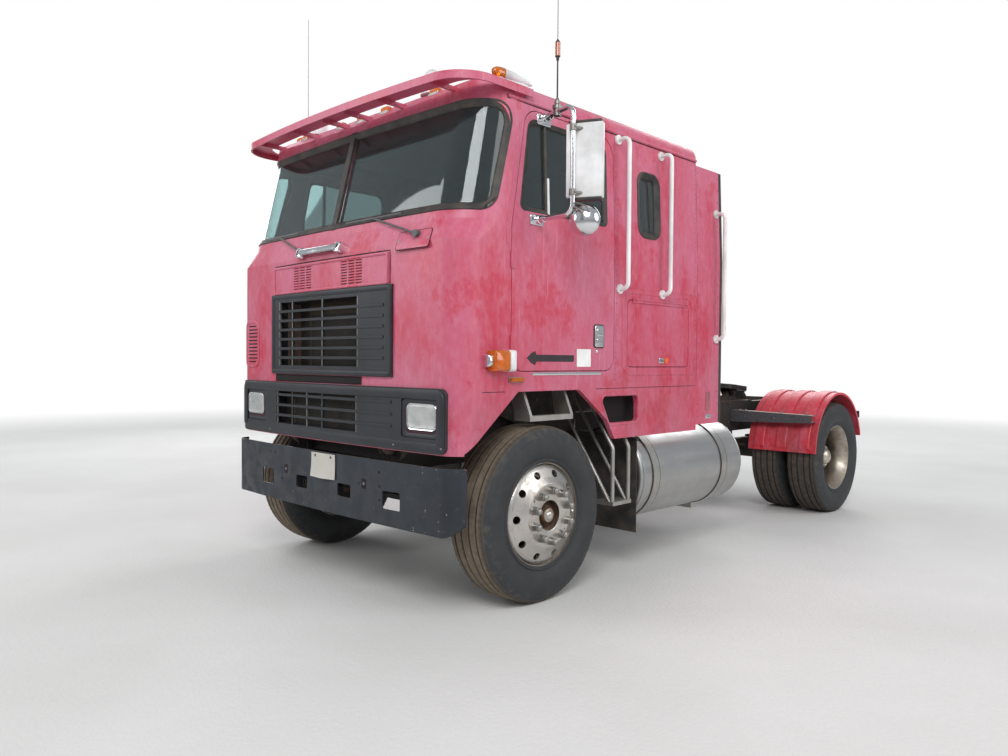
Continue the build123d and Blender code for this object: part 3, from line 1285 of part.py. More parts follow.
def build_mirror():
    high = (side_x(MIRROR_HIGH) - 15, -20, MIRROR_HIGH)
    low = (side_x(MIRROR_LOW) - 15, MIRROR_TUBE_Y, MIRROR_LOW)
    corners = [(MIRROR_TUBE_X, MIRROR_TUBE_Y, z) for z in (MIRROR_HIGH, MIRROR_LOW)]
    tube = tube_path([high, *corners, low], TUBE_BEND, MIRROR_TUBE_R)
    wall = side_x(MIRROR_HIGH)
    plates = [box(wall - 20, wall + BRACKET_T, -75, 40, MIRROR_HIGH - 45, MIRROR_HIGH + 18)]
    wall = side_x(MIRROR_LOW)
    plates.append(box(wall - 20, wall + BRACKET_T, -150, -40, MIRROR_LOW - 30, MIRROR_LOW + 30))
    head = Box(HEAD["w"], HEAD["t"], HEAD["h"])
    head = fillet(head.edges().filter_by(Axis.Z), 18)
    head = Pos(HEAD["x"], HEAD["y"], HEAD["z"]) * (Rot(0, 0, HEAD["yaw"]) * head)
    clamps = []
    for z in (HEAD["z"] + CLAMP_REACH, HEAD["z"] - CLAMP_REACH):
        clamps.append(rod((MIRROR_TUBE_X, MIRROR_TUBE_Y, z), (HEAD["x"] - 10, HEAD["y"] - 10, z), 10))
    r = ROUND_HEAD
    bowl = Pos(r["x"], r["y"], r["z"]) * (Rot(0, 0, HEAD["yaw"]) * Rot(90, 0, 0) * Cylinder(r["r"], 34))
    arm = rod((MIRROR_TUBE_X, MIRROR_TUBE_Y, r["z"] + 45), (r["x"], r["y"], r["z"] + 30), 9)
    share = (ANTENNA_X - high[0]) / (MIRROR_TUBE_X - high[0])
    stand_y = high[1] + share * (MIRROR_TUBE_Y - high[1])
    whip = [rod((ANTENNA_X, stand_y, low_z), (ANTENNA_X, stand_y, high_z), radius)
            for low_z, high_z, radius in ANTENNA]
    return fused([tube] + plates + [head] + clamps + [bowl, arm] + whip) - cab_solid(0)


mirror_left, mirror_right = both_sides(build_mirror())
nodes["mirror_left"] = mirror_left
nodes["mirror_right"] = mirror_right

# Inside the cab: seats, dash, steering wheel and bunk
SEAT_X = CAB_HALF_W - 373
SEAT_W = 480
SEAT = {"front": 60, "back": 560, "low": 1500, "top": 1620, "head": 2240}
BUNK = {"front": 880, "z": 1790, "t": 20, "pad": 120}
PAD_INSET = 73
DASH_FRONT = -610
DASH_INSET = 183
COLUMN_TILT = 20
WHEEL_Y = -170
WHEEL_Z = 2030
STEER_R = 232
STEER_GRIP_R = 16
STEER_HUB = {"r": 60, "h": 40}
SPOKE = {"w": 34, "t": 14}
COLUMN_R = 30


def build_seat():
    s = SEAT
    profile = (
        (s["front"], s["low"], 30), (s["front"], s["top"], 50), (s["back"] - 120, s["top"], 20),
        (s["back"] - 70, s["head"], 50), (s["back"] + 40, s["head"], 50), (s["back"], s["low"], 40),
    )
    cushion = side_prism(profile, SEAT_X - SEAT_W / 2, SEAT_X + SEAT_W / 2)
    base = box(SEAT_X - 190, SEAT_X + 190, s["front"] + 60, s["back"] - 60, SILL_Z + FLOOR_T, s["low"])
    return cushion + base


def build_dash():
    low = DOGHOUSE_FRONT_Z
    profile = (
        (DASH_FRONT, low, 0), (DASH_FRONT, 2055, 30), (-470, 2075, 60), (-350, 1960, 40), (-385, low, 10),
    )
    return side_prism(profile, DASH_INSET - CAB_HALF_W, CAB_HALF_W - DASH_INSET)


def build_steering():
    ring = Torus(STEER_R, STEER_GRIP_R)
    hub = Cylinder(STEER_HUB["r"], STEER_HUB["h"])
    body = ring + hub
    reach = STEER_R - 2
    for angle in (0, 120, 240):
        body += Rot(0, 0, angle) * (Pos(reach / 2, 0, 0) * Box(reach, SPOKE["w"], SPOKE["t"]))
    drop = WHEEL_Z - SILL_Z
    foot = (SEAT_X, WHEEL_Y - drop * tan(radians(COLUMN_TILT)), SILL_Z)
    column = rod((SEAT_X, WHEEL_Y, WHEEL_Z), foot, COLUMN_R)
    body = Pos(SEAT_X, WHEEL_Y, WHEEL_Z) * (Rot(-COLUMN_TILT, 0, 0) * body)
    floor_top = SILL_Z + FLOOR_T + SEAT_GAP
    return (body + column) - box(0, CAB_HALF_W, CAB_FRONT, 0, SILL_Z - 100, floor_top)


def build_bunk():
    b = BUNK
    half = CAB_HALF_W - WALL
    deck = box(-half, half, b["front"], REAR_WALL_Y, b["z"] - b["t"], b["z"])
    wall = box(-half + JOINT_GAP, half - JOINT_GAP, b["front"], b["front"] + b["t"], SILL_Z + FLOOR_T, b["z"])
    return deck + wall


def build_mattress():
    b = BUNK
    half = CAB_HALF_W - PAD_INSET
    pad = box(-half, half, b["front"] + 10, REAR_WALL_Y - 6, b["z"] + SEAT_GAP, b["z"] + b["pad"])
    return fillet(pad.edges().group_by(Axis.Z)[-1], 25)


nodes["seats"] = joined(both_sides(build_seat()))
nodes["dash"] = build_dash()
nodes["steering_wheel"] = build_steering()
nodes["bunk"] = build_bunk()
nodes["mattress"] = build_mattress()

# Half the length puts the origin half way along the truck
FRONT_END = BUMPER_NOSE
BACK_END = WHEELBASE + REAR_OVERHANG
SHIFT = -(FRONT_END + BACK_END) / 2

os.makedirs("parts", exist_ok=True)
for name, shape in nodes.items():
    export_step(Pos(0, SHIFT, 0) * shape, f"parts/{name}.step")
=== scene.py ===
"""Looks of a weathered cab-over tractor unit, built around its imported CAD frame.

Metres, in the frame's own axes: +X is the truck's left, the front faces -Y, +Z is up.
A station is a distance behind the front axle, so Y = FRONT_AXLE_Y + station.
"""
import json
import math

import bmesh
import bpy
from mathutils import Matrix, Vector
from mathutils.bvhtree import BVHTree


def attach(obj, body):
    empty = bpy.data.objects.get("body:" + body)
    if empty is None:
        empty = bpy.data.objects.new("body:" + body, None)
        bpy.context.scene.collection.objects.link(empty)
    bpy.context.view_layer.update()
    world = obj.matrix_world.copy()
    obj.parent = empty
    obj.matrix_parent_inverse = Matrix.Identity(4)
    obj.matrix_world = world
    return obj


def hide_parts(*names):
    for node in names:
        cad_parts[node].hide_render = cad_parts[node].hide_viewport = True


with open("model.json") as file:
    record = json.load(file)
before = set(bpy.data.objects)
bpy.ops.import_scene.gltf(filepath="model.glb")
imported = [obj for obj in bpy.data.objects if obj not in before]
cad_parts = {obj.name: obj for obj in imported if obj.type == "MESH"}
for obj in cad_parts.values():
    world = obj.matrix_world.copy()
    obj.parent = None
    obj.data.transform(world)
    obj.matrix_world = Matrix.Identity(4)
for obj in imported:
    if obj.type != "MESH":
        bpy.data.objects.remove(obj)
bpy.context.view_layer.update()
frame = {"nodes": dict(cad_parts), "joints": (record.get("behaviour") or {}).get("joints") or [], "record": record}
NODES = frame["nodes"]
JOINTS = {joint["name"]: joint for joint in frame["joints"]}
FRONT_AXLE_Y = JOINTS["steer_left"]["pos_m"][1]
REAR_AXLE_Y = JOINTS["rear_wheels_left_spin"]["pos_m"][1]
WHEEL_Z = JOINTS["steer_left"]["pos_m"][2]
SIDES = (("left", 1), ("right", -1))
HALF_WIDTH = 1.143


def station(value):
    """Y of a distance behind the front axle."""
    return FRONT_AXLE_Y + value


# Camera, solved from the photograph's own perspective
CAMERA_PLACE = (4.0587, -5.3821, 1.3649)
CAMERA_YAW = math.radians(44.46)
CAMERA_PITCH = math.radians(-1.27)
CAMERA_ROLL = math.radians(0.43)
CAMERA_LENS = 28.04


def make_camera():
    data = bpy.data.cameras.new("camera")
    data.lens = CAMERA_LENS
    data.sensor_width = 36
    camera = bpy.data.objects.new("camera", data)
    bpy.context.scene.collection.objects.link(camera)
    ahead = Vector((-math.sin(CAMERA_YAW) * math.cos(CAMERA_PITCH),
                    math.cos(CAMERA_YAW) * math.cos(CAMERA_PITCH), math.sin(CAMERA_PITCH)))
    level = Vector((math.cos(CAMERA_YAW), math.sin(CAMERA_YAW), 0))
    above = level.cross(ahead)
    right = math.cos(CAMERA_ROLL) * level + math.sin(CAMERA_ROLL) * above
    up = -math.sin(CAMERA_ROLL) * level + math.cos(CAMERA_ROLL) * above
    turn = Matrix((right, up, -ahead)).transposed().to_4x4()
    camera.matrix_world = Matrix.Translation(CAMERA_PLACE) @ turn
    bpy.context.scene.camera = camera


# Node trees: short helpers that the materials below share
def srgb(red, green, blue):
    """Linear colour of an 8-bit display colour."""
    out = []
    for value in (red, green, blue):
        c = value / 255
        out.append(c / 12.92 if c <= 0.04045 else ((c + 0.055) / 1.055) ** 2.4)
    return (*out, 1)


def toned(color, factor):
    """Lighter or darker colour, at most white."""
    return (*(min(1, factor * c) for c in color[:3]), 1)


class Finish:
    """A material on a Principled shader, with the noise and mixing that its surface needs."""

    def __init__(self, name, color, roughness=0.5, metallic=0.0, **sockets):
        self.material = bpy.data.materials.new(name)
        self.material.use_nodes = True
        self.tree = self.material.node_tree
        self.shader = self.tree.nodes["Principled BSDF"]
        self.set("Base Color", color)
        self.set("Roughness", roughness)
        self.set("Metallic", metallic)
        for key, value in sockets.items():
            self.set(key.replace("_", " "), value)
        self.place = self.new("ShaderNodeTexCoord").outputs["Object"]

    def new(self, kind, **settings):
        node = self.tree.nodes.new(kind)
        for key, value in settings.items():
            setattr(node, key, value)
        return node

    def link(self, source, target):
        self.tree.links.new(source, target)

    def set(self, socket, value):
        self.shader.inputs[socket].default_value = value

    def feed(self, socket, source):
        self.link(source, self.shader.inputs[socket])

    def scaled(self, scale):
        """Object coordinates stretched by (x, y, z)."""
        node = self.new("ShaderNodeMapping")
        self.link(self.place, node.inputs["Vector"])
        node.inputs["Scale"].default_value = scale
        return node.outputs["Vector"]

    def noise(self, scale, stretch=(1, 1, 1), detail=4, rough=0.55, low=0.4, high=0.6):
        """Noise spread from 0 to 1 between two levels."""
        node = self.new("ShaderNodeTexNoise")
        self.link(self.scaled(stretch), node.inputs["Vector"])
        node.inputs["Scale"].default_value = scale
        node.inputs["Detail"].default_value = detail
        node.inputs["Roughness"].default_value = rough
        return self.spread(node.outputs["Fac"], low, high)

    def spread(self, source, low, high, out_low=0.0, out_high=1.0):
        node = self.new("ShaderNodeMapRange")
        self.link(source, node.inputs["Value"])
        for key, value in (("From Min", low), ("From Max", high), ("To Min", out_low),
                           ("To Max", out_high)):
            node.inputs[key].default_value = value
        return node.outputs["Result"]

    def math(self, operation, first, second=0.5):
        node = self.new("ShaderNodeMath", operation=operation)
        for i, value in enumerate((first, second)):
            if isinstance(value, (int, float)):
                node.inputs[i].default_value = value
            else:
                self.link(value, node.inputs[i])
        return node.outputs["Value"]

    def mix(self, factor, first, second):
        """Colour that goes from first to second with the factor."""
        node = self.new("ShaderNodeMix", data_type="RGBA")
        for key, value in (("Factor", factor), ("A", first), ("B", second)):
            socket = [s for s in node.inputs if s.name == key and s.enabled][0]
            if isinstance(value, (tuple, int, float)):
                socket.default_value = value
            else:
                self.link(value, socket)
        return [s for s in node.outputs if s.enabled][0]

    def cover(self, mask, share, first, second):
        """Colour that goes from first to second with a share of the mask."""
        return self.mix(self.math("MULTIPLY", mask, share), first, second)

    def axis(self, name):
        """One object coordinate: X, Y or Z."""
        node = self.new("ShaderNodeSeparateXYZ")
        self.link(self.place, node.inputs["Vector"])
        return node.outputs[name]

    def wheel_radius(self):
        """Distance from a wheel's own axle."""
        parts = self.new("ShaderNodeSeparateXYZ")
        self.link(self.place, parts.inputs["Vector"])
        across, up = (self.math("MULTIPLY", parts.outputs[key], parts.outputs[key]) for key in ("Y", "Z"))
        return self.math("SQRT", self.math("ADD", across, up), 0)

    def facing_up(self):
        """How far the surface faces up, from 0 to 1."""
        normal = self.new("ShaderNodeNewGeometry").outputs["Normal"]
        node = self.new("ShaderNodeSeparateXYZ")
        self.link(normal, node.inputs["Vector"])
        return self.spread(node.outputs["Z"], 0.2, 0.95)

    def bump(self, source, distance, strength=1.0):
        node = self.new("ShaderNodeBump")
        self.link(source, node.inputs["Height"])
        node.inputs["Distance"].default_value = distance
        node.inputs["Strength"].default_value = strength
        if self.shader.inputs["Normal"].is_linked:
            self.link(self.shader.inputs["Normal"].links[0].from_socket, node.inputs["Normal"])
        self.feed("Normal", node.outputs["Normal"])


# Finishes of the truck's surfaces
PINK = srgb(196, 102, 128)
DEEP_RED = srgb(190, 38, 66)
GRIME = srgb(92, 72, 66)
DUST = srgb(150, 132, 112)
THREADS = 900


def weathered_paint(name, faded, fresh, fade=0.5, grime_top=1.5):
    """Old enamel: chalky patches over the fresh colour, fine runs, specks and road dirt low down."""
    f = Finish(name, faded, roughness=0.42)
    clouds = f.noise(1.6, (1, 1, 0.7), detail=6, rough=0.62, low=0.36 + 0.2 * (fade - 0.5), high=0.62)
    runs = f.noise(7, (1, 1, 0.16), detail=5, rough=0.6, low=0.4, high=0.68)
    patches = f.math("MULTIPLY", clouds, f.spread(runs, 0, 1, 0.45, 1.0))
    color = f.mix(patches, faded, fresh)
    blots = f.noise(2.7, (1, 1, 0.8), detail=9, rough=0.7, low=0.545, high=0.6)
    color = f.cover(blots, 0.66, color, fresh)
    bare = f.noise(2.1, (1, 1, 0.6), detail=9, rough=0.72, low=0.56, high=0.66)
    color = f.cover(bare, 0.38, color, srgb(206, 132, 152))
    scratches = f.noise(60, (1, 1, 0.035), detail=3, rough=0.6, low=0.64, high=0.7)
    color = f.cover(scratches, 0.22, color, srgb(224, 168, 180))
    chalk = f.noise(34, (1, 1, 0.5), detail=3, low=0.42, high=0.75)
    color = f.cover(chalk, 0.22, color, srgb(212, 146, 164))
    specks = f.noise(95, detail=2, low=0.66, high=0.72)
    color = f.cover(specks, 0.35, color, srgb(120, 22, 40))
    low = f.spread(f.axis("Z"), 0.75, grime_top, 1.0, 0.0)
    splash = f.math("MULTIPLY", low, f.noise(5, (1, 1, 0.5), detail=6, low=0.38, high=0.75))
    color = f.cover(splash, 0.45, color, GRIME)
    f.feed("Base Color", color)
    f.feed("Roughness", f.spread(patches, 0, 1, 0.52, 0.3))
    f.set("Coat Weight", 0.12)
    f.set("Coat Roughness", 0.35)
    f.bump(f.noise(3.0, detail=3, low=0.2, high=0.8), 0.0012, 0.5)
    f.bump(chalk, 0.0003, 0.4)
    return f.material


def scuffed_paint(name, color, worn, scuff_color, roughness=0.45):
    """Dark satin paint with scratches along the travel direction, chips and dust."""
    f = Finish(name, color, roughness=roughness)
    tone = f.mix(f.noise(2.2, detail=6, low=0.3, high=0.75), color, worn)
    scratches = f.noise(14, (0.35, 1, 2.2), detail=8, rough=0.75, low=0.62, high=0.7)
    tone = f.cover(scratches, 0.55, tone, scuff_color)
    chips = f.noise(42, detail=2, low=0.735, high=0.76)
    tone = f.cover(chips, 0.6, tone, srgb(190, 186, 178))
    tone = f.cover(f.facing_up(), 0.35, tone, DUST)
    f.feed("Base Color", tone)
    f.feed("Roughness", f.spread(f.noise(9, detail=4), 0, 1, roughness - 0.08, roughness + 0.18))
    f.bump(scratches, 0.0004, 0.5)
    return f.material


def dirty_metal(name, color, rust, rust_share=0.5, roughness=0.62, metallic=0.35):
    """Chassis iron: flat dark paint, rust blooms and dried road dust on what faces up."""
    f = Finish(name, color, roughness=roughness, metallic=metallic)
    blooms = f.noise(9, detail=8, rough=0.7, low=0.72 - 0.3 * rust_share, high=0.8 - 0.15 * rust_share)
    tone = f.mix(blooms, color, rust)
    tone = f.cover(f.facing_up(), 0.55, tone, DUST)
    tone = f.mix(f.noise(45, detail=3, low=0.55, high=0.85), tone, srgb(70, 62, 55))
    f.feed("Base Color", tone)
    f.feed("Roughness", f.spread(blooms, 0, 1, roughness, 0.9))
    f.bump(f.noise(60, detail=4), 0.0006, 0.6)
    f.bump(blooms, 0.0006, 0.4)
    return f.material


def bright_metal(name, color, roughness=0.22, brushed=(1, 1, 1), dirt=0.25, scale=40):
    """Bare or plated metal with a fine grain along one direction, cloudy spots and dirt."""
    f = Finish(name, color, roughness=roughness, metallic=1.0)
    grain = f.noise(scale, brushed, detail=6, rough=0.7, low=0.25, high=0.8)
    stain = f.noise(4, detail=6, rough=0.6, low=0.42, high=0.8)
    tone = f.cover(stain, dirt, color, srgb(128, 122, 112))
    tone = f.cover(grain, 0.18, tone, srgb(245, 245, 245))
    f.feed("Base Color", tone)
    f.feed("Roughness", f.math("ADD", f.spread(grain, 0, 1, -0.06, 0.08),
                               f.spread(stain, 0, 1, roughness, roughness + 0.22)))
    f.bump(grain, 0.00008, 0.4)
    return f.material


def moulded_plastic(name, color, roughness=0.55, dust=0.35, grain=160):
    """Grained plastic that has greyed in the sun, with dust on its ledges."""
    f = Finish(name, color, roughness=roughness)
    tone = f.mix(f.noise(4, detail=6, low=0.35, high=0.8), color, toned(color, 2.1))
    tone = f.cover(f.facing_up(), dust, tone, DUST)
    f.feed("Base Color", tone)
    f.bump(f.noise(grain, detail=3), 0.0003, 0.6)
    return f.material


def rubber_finish(name, color=(0.022, 0.022, 0.023, 1), dust=0.3, roughness=0.6):
    f = Finish(name, color, roughness=roughness)
    tone = f.cover(f.noise(11, detail=6, low=0.35, high=0.9), dust, color, DUST)
    f.feed("Base Color", tone)
    f.bump(f.noise(220, detail=3), 0.0002, 0.5)
    return f.material


def glass_finish(name, tint, roughness):
    """Window glass with a film of dust; tint is what shows through it."""
    f = Finish(name, tint, roughness=roughness, IOR=1.45)
    f.set("Transmission Weight", 0.95)
    f.set("Specular IOR Level", 0.14)
    film = f.noise(3, (1, 1, 0.4), detail=6, low=0.35, high=0.9)
    f.feed("Roughness", f.spread(film, 0, 1, roughness, roughness + 0.03))
    f.feed("Base Color", f.cover(film, 0.12, tint, srgb(170, 178, 178)))
    return f.material


def cloth_finish(name, color, dark):
    """Woven seat cloth: two thread directions, pile shading and worn patches."""
    f = Finish(name, color, roughness=0.9)
    f.set("Sheen Weight", 0.35)
    f.set("Sheen Roughness", 0.5)
    warp = f.noise(THREADS, (1, 0.12, 0.12), detail=1, low=0.3, high=0.7)
    weft = f.noise(THREADS, (0.12, 1, 1), detail=1, low=0.3, high=0.7)
    thread = f.math("MAXIMUM", warp, weft)
    tone = f.mix(thread, dark, color)
    tone = f.mix(f.noise(5, detail=5, low=0.45, high=0.8), tone, dark)
    f.feed("Base Color", tone)
    f.bump(thread, 0.0008, 0.7)
    return f.material


def lamp_finish(name, tint, ribs=(1, 1, 1)):
    """Moulded lens: clear plastic over vertical flutes, slightly yellowed."""
    f = Finish(name, tint, roughness=0.12, IOR=1.49)
    f.set("Transmission Weight", 0.55)
    f.set("Coat Weight", 0.6)
    f.feed("Base Color", f.mix(f.noise(20, detail=4, low=0.4, high=0.9), tint,
                               toned(tint, 0.7)))
    wave = f.new("ShaderNodeTexWave", wave_type="BANDS", bands_direction="X")
    f.link(f.scaled(ribs), wave.inputs["Vector"])
    wave.inputs["Scale"].default_value = 28
    f.bump(wave.outputs["Fac"], 0.0012, 0.6)
    return f.material


# Name of the slot, kind of finish and what that kind asks for
FINISHES = (
    ("cab_paint", weathered_paint, PINK, DEEP_RED),
    ("fender_paint", weathered_paint, srgb(204, 58, 72), srgb(196, 26, 44), 0.8, 0.95),
    ("bumper_paint", scuffed_paint, srgb(28, 33, 40), srgb(44, 50, 58), srgb(96, 100, 106)),
    ("frame_paint", dirty_metal, srgb(58, 54, 52), srgb(96, 62, 44), 0.4),
    ("chassis_iron", dirty_metal, srgb(52, 50, 48), srgb(104, 66, 46), 0.55),
    ("engine_iron", dirty_metal, srgb(66, 66, 64), srgb(84, 62, 48), 0.3),
    ("radiator_core", dirty_metal, srgb(74, 64, 52), srgb(110, 92, 70), 0.6, 0.7, 0.5),
    ("tyre", rubber_finish, srgb(40, 40, 41), 0.42, 0.78),
    ("front_rim", bright_metal, srgb(214, 214, 212), 0.2, (1, 0.1, 0.1), 0.2),
    ("rear_rim", bright_metal, srgb(196, 196, 194), 0.3, (1, 0.2, 0.2), 0.45),
    ("tank_aluminium", bright_metal, srgb(174, 174, 173), 0.36, (1, 0.03, 1), 0.35, 26),
    ("bracket_steel", bright_metal, srgb(176, 174, 168), 0.34, (1, 1, 0.2), 0.45),
    ("bright_aluminium", bright_metal, srgb(212, 210, 206), 0.28, (1, 0.3, 1), 0.3),
    ("fifth_wheel_steel", dirty_metal, srgb(46, 44, 44), srgb(70, 54, 42), 0.3, 0.4, 0.6),
    ("glass", glass_finish, srgb(150, 170, 170), 0.012),
    ("rubber", rubber_finish),
    ("grille_plastic", moulded_plastic, srgb(29, 31, 35), 0.5, 0.08),
    ("lamp_clear", lamp_finish, srgb(226, 228, 224)),
    ("lamp_amber", lamp_finish, srgb(255, 138, 22)),
    ("lamp_red", lamp_finish, srgb(206, 20, 24)),
    ("mirror_shell", moulded_plastic, srgb(190, 189, 188), 0.45, 0.2),
    ("cab_interior", moulded_plastic, srgb(84, 70, 62), 0.7, 0.3, 90),
    ("seat_cloth", cloth_finish, srgb(96, 72, 62), srgb(58, 42, 38)),
    ("mattress_cloth", cloth_finish, srgb(168, 158, 142), srgb(120, 110, 98)),
)
MATERIALS = {name: make(name, *rest) for name, make, *rest in FINISHES}
STEP_METAL = bright_metal("step_metal", srgb(172, 170, 164), 0.5, (1, 1, 0.3), 0.85)
ARM_GREY = dirty_metal("arm_grey", srgb(96, 98, 102), srgb(104, 84, 68), 0.25, 0.55, 0.5)
RAIL_WHITE = moulded_plastic("rail_white", srgb(206, 206, 204), 0.32, 0.15, 120)
OWN_FINISH = {"cab_steps": STEP_METAL, "fender_arms": ARM_GREY, "grab_rails": RAIL_WHITE,
              "wipers": ARM_GREY}
for subpart in frame["record"]["subparts"]:
    node_mesh = NODES[subpart["node"]].data
    node_mesh.materials.clear()
    node_mesh.materials.append(OWN_FINISH.get(subpart["node"], MATERIALS[subpart["material_slot"]]))


# Mesh helpers
def bridge(part, rings, closed=True):
    """Faces from each ring of vertices to the next."""
    size = len(rings[0])
    for low, high in zip(rings, rings[1:]):
        for k in range(size if closed else size - 1):
            m = (k + 1) % size
            part.faces.new((low[k], low[m], high[m], high[k]))


class Piece:
    """One piece of the scene, built up in its own axes round an origin."""

    def __init__(self, name, origin=(0, 0, 0)):
        self.name = name
        self.origin = Vector(origin)
        self.bm = bmesh.new()
        self.materials = []

    def index(self, material):
        if material not in self.materials:
            self.materials.append(material)
        return self.materials.index(material)

    def absorb(self, other, material, matrix=None):
        """Adds another bmesh, its faces turned outwards, with one material on all of them."""
        bmesh.ops.recalc_face_normals(other, faces=other.faces)
        if matrix is not None:
            bmesh.ops.transform(other, matrix=matrix, verts=other.verts)
        slot_index = self.index(material)
        for face in other.faces:
            face.material_index = slot_index
        part = bpy.data.meshes.new("part")
        other.to_mesh(part)
        other.free()
        self.bm.from_mesh(part)
        bpy.data.meshes.remove(part)

    def lathe(self, profile, material, center=(0, 0, 0), axis=(1, 0, 0), segments=96, closed=False,
              wave=None):
        """Surface of revolution of (along, radius) points; wave changes a radius by its angle."""
        part = bmesh.new()
        axis = Vector(axis).normalized()
        side = axis.orthogonal().normalized()
        if abs(axis.x) > 0.9:
            side = Vector((0, 0, 1))
        other = axis.cross(side)
        rings = []
        for i in range(segments):
            angle = 2 * math.pi * i / segments
            ray = math.cos(angle) * side + math.sin(angle) * other
            ring = []
            for j, (along, radius) in enumerate(profile):
                grown = radius + (wave(j, angle) if wave else 0)
                ring.append(part.verts.new(Vector(center) + along * axis + grown * ray))
            rings.append(ring)
        bridge(part, rings + rings[:1], closed)
        bmesh.ops.remove_doubles(part, verts=part.verts, dist=1e-5)
        self.absorb(part, material)

    def block(self, low, high, material, bevel=0.002, matrix=None):
        """Box between two corners with rounded edges."""
        part = bmesh.new()
        bmesh.ops.create_cube(part, size=1)
        low, high = Vector(low), Vector(high)
        size = high - low
        bmesh.ops.transform(part, matrix=Matrix.Translation((low + high) / 2) @ Matrix.Diagonal((*size, 1)),
                            verts=part.verts)
        if bevel:
            bmesh.ops.bevel(part, geom=part.edges, offset=min(bevel, 0.45 * min(size)), segments=2,
                            affect="EDGES", profile=0.5)
        self.absorb(part, material, matrix)

    def prism(self, corners, depth, material, matrix, bevel=0.0):
        """Flat outline (u, v) pushed along the matrix's Z by depth."""
        part = bmesh.new()
        low = [part.verts.new((u, v, 0)) for u, v in corners]
        high = [part.verts.new((u, v, depth)) for u, v in corners]
        part.faces.new(low[::-1])
        top = part.faces.new(high)
        bridge(part, (low, high))
        bmesh.ops.recalc_face_normals(part, faces=part.faces)
        if bevel:
            bmesh.ops.bevel(part, geom=list(top.edges), offset=bevel, segments=2, affect="EDGES",
                            profile=0.5)
        self.absorb(part, material, matrix)

    def strip(self, points, ups, section, material, closed=False):
        """Section of (across, up) points carried along a path with an up vector at each point."""
        part = bmesh.new()
        rings = []
        count = len(points)
        for i, (point, up) in enumerate(zip(points, ups)):
            behind = points[i - 1] if i or closed else point
            ahead = points[(i + 1) % count] if i < count - 1 or closed else point
            run = (Vector(ahead) - Vector(behind)).normalized()
            across = run.cross(up).normalized()
            lift = across.cross(run).normalized()
            rings.append([part.verts.new(Vector(point) + a * across + b * lift) for a, b in section])
        bridge(part, rings + rings[:1] if closed else rings)
        if not closed:
            part.faces.new(rings[0])
            part.faces.new(rings[-1][::-1])
        self.absorb(part, material)

    def tube(self, points, radius, material, sides=14, bend=0.0, closed=False):
        """Round bar along a path, its corners rounded by bend."""
        path = rounded(points, bend) if bend else [Vector(p) for p in points]
        section = [(radius * math.cos(2 * math.pi * k / sides), radius * math.sin(2 * math.pi * k / sides))
                   for k in range(sides)]
        run = (path[1] - path[0]).normalized()
        up = run.orthogonal().normalized()
        ups = []
        for i in range(len(path)):
            ahead = path[min(i + 1, len(path) - 1)] - path[max(i - 1, 0)]
            up = (up - up.project(ahead)).normalized()
            ups.append(up.copy())
        self.strip(path, ups, section, material, closed)

    def bolt(self, place, direction, size, material, washer=True, sides=6):
        """Bolt head: a washer and a chamfered hexagon, or a dome with more sides."""
        place, direction = Vector(place), Vector(direction).normalized()
        if sides > 6:
            profile = [(0, size)] + [(size * 0.62 * math.sin(a), size * math.cos(a))
                                     for a in (0.35, 0.75, 1.15)] + [(size * 0.62, 0)]
            self.lathe(profile, material, place, direction, sides)
            return
        if washer:
            self.lathe([(0, size * 1.35), (size * 0.22, size * 1.3), (size * 0.25, 0)], material, place,
                       direction, 16)
        self.lathe([(0, size), (size * 0.75, size), (size * 0.95, size * 0.78), (size * 0.97, 0)],
                   material, place, direction, 6)

    def done(self, body, hides=(), crease=38):
        """Makes the object, hangs it on its body and hides the CAD nodes it stands for."""
        mesh = bpy.data.meshes.new(self.name)
        self.bm.to_mesh(mesh)
        self.bm.free()
        for material in self.materials:
            mesh.materials.append(material)
        for polygon in mesh.polygons:
            polygon.use_smooth = True
        mesh.set_sharp_from_angle(angle=math.radians(crease))
        piece = bpy.data.objects.new(self.name, mesh)
        bpy.context.scene.collection.objects.link(piece)
        piece.location = self.origin
        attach(piece, body)
        if hides:
            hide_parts(*hides)
        return piece


BEND_STEPS = 6
NEARLY_STRAIGHT = math.radians(88)


def rounded(points, bend):
    """Path with arcs of one radius in place of its corners."""
    points = [Vector(p) for p in points]
    path = [points[0]]
    for before, corner, after in zip(points, points[1:], points[2:]):
        back, ahead = (before - corner).normalized(), (after - corner).normalized()
        half = back.angle(ahead) / 2
        if half > NEARLY_STRAIGHT:
            path.append(corner)
            continue
        reach = min(bend / math.tan(half), 0.48 * (before - corner).length, 0.48 * (after - corner).length)
        radius = reach * math.tan(half)
        center = corner + (back + ahead).normalized() * (radius / math.sin(half))
        start, end = corner + back * reach - center, corner + ahead * reach - center
        for k in range(BEND_STEPS + 1):
            path.append(center + start.normalized().slerp(end.normalized(), k / BEND_STEPS) * radius)
    path.append(points[-1])
    return path


def surface_of(*names):
    """Ray caster over the meshes of CAD nodes."""
    points, faces = [], []
    for name in names:
        mesh = NODES[name].data
        first = len(points)
        points.extend(v.co.copy() for v in mesh.vertices)
        faces.extend([first + k for k in p.vertices] for p in mesh.polygons)
    return BVHTree.FromPolygons(points, faces)


def land(tree, start, direction, lift=0.0):
    """Where a ray meets a surface: the point, lifted off it, and the normal towards the start."""
    direction = Vector(direction).normalized()
    place, normal, _, _ = tree.ray_cast(Vector(start), direction)
    if place is None:
        raise ValueError(f"a ray from {tuple(start)} meets nothing")
    if normal.dot(direction) > 0:
        normal = -normal
    return place + normal * lift, normal


def frame_at(place, normal):
    """Matrix at a place whose Z is the normal and whose Y leans upwards."""
    normal = Vector(normal).normalized()
    across = Vector((0, 0, 1)).cross(normal).normalized()
    rise = normal.cross(across)
    return Matrix.Translation(place) @ Matrix((across, rise, normal)).transposed().to_4x4()


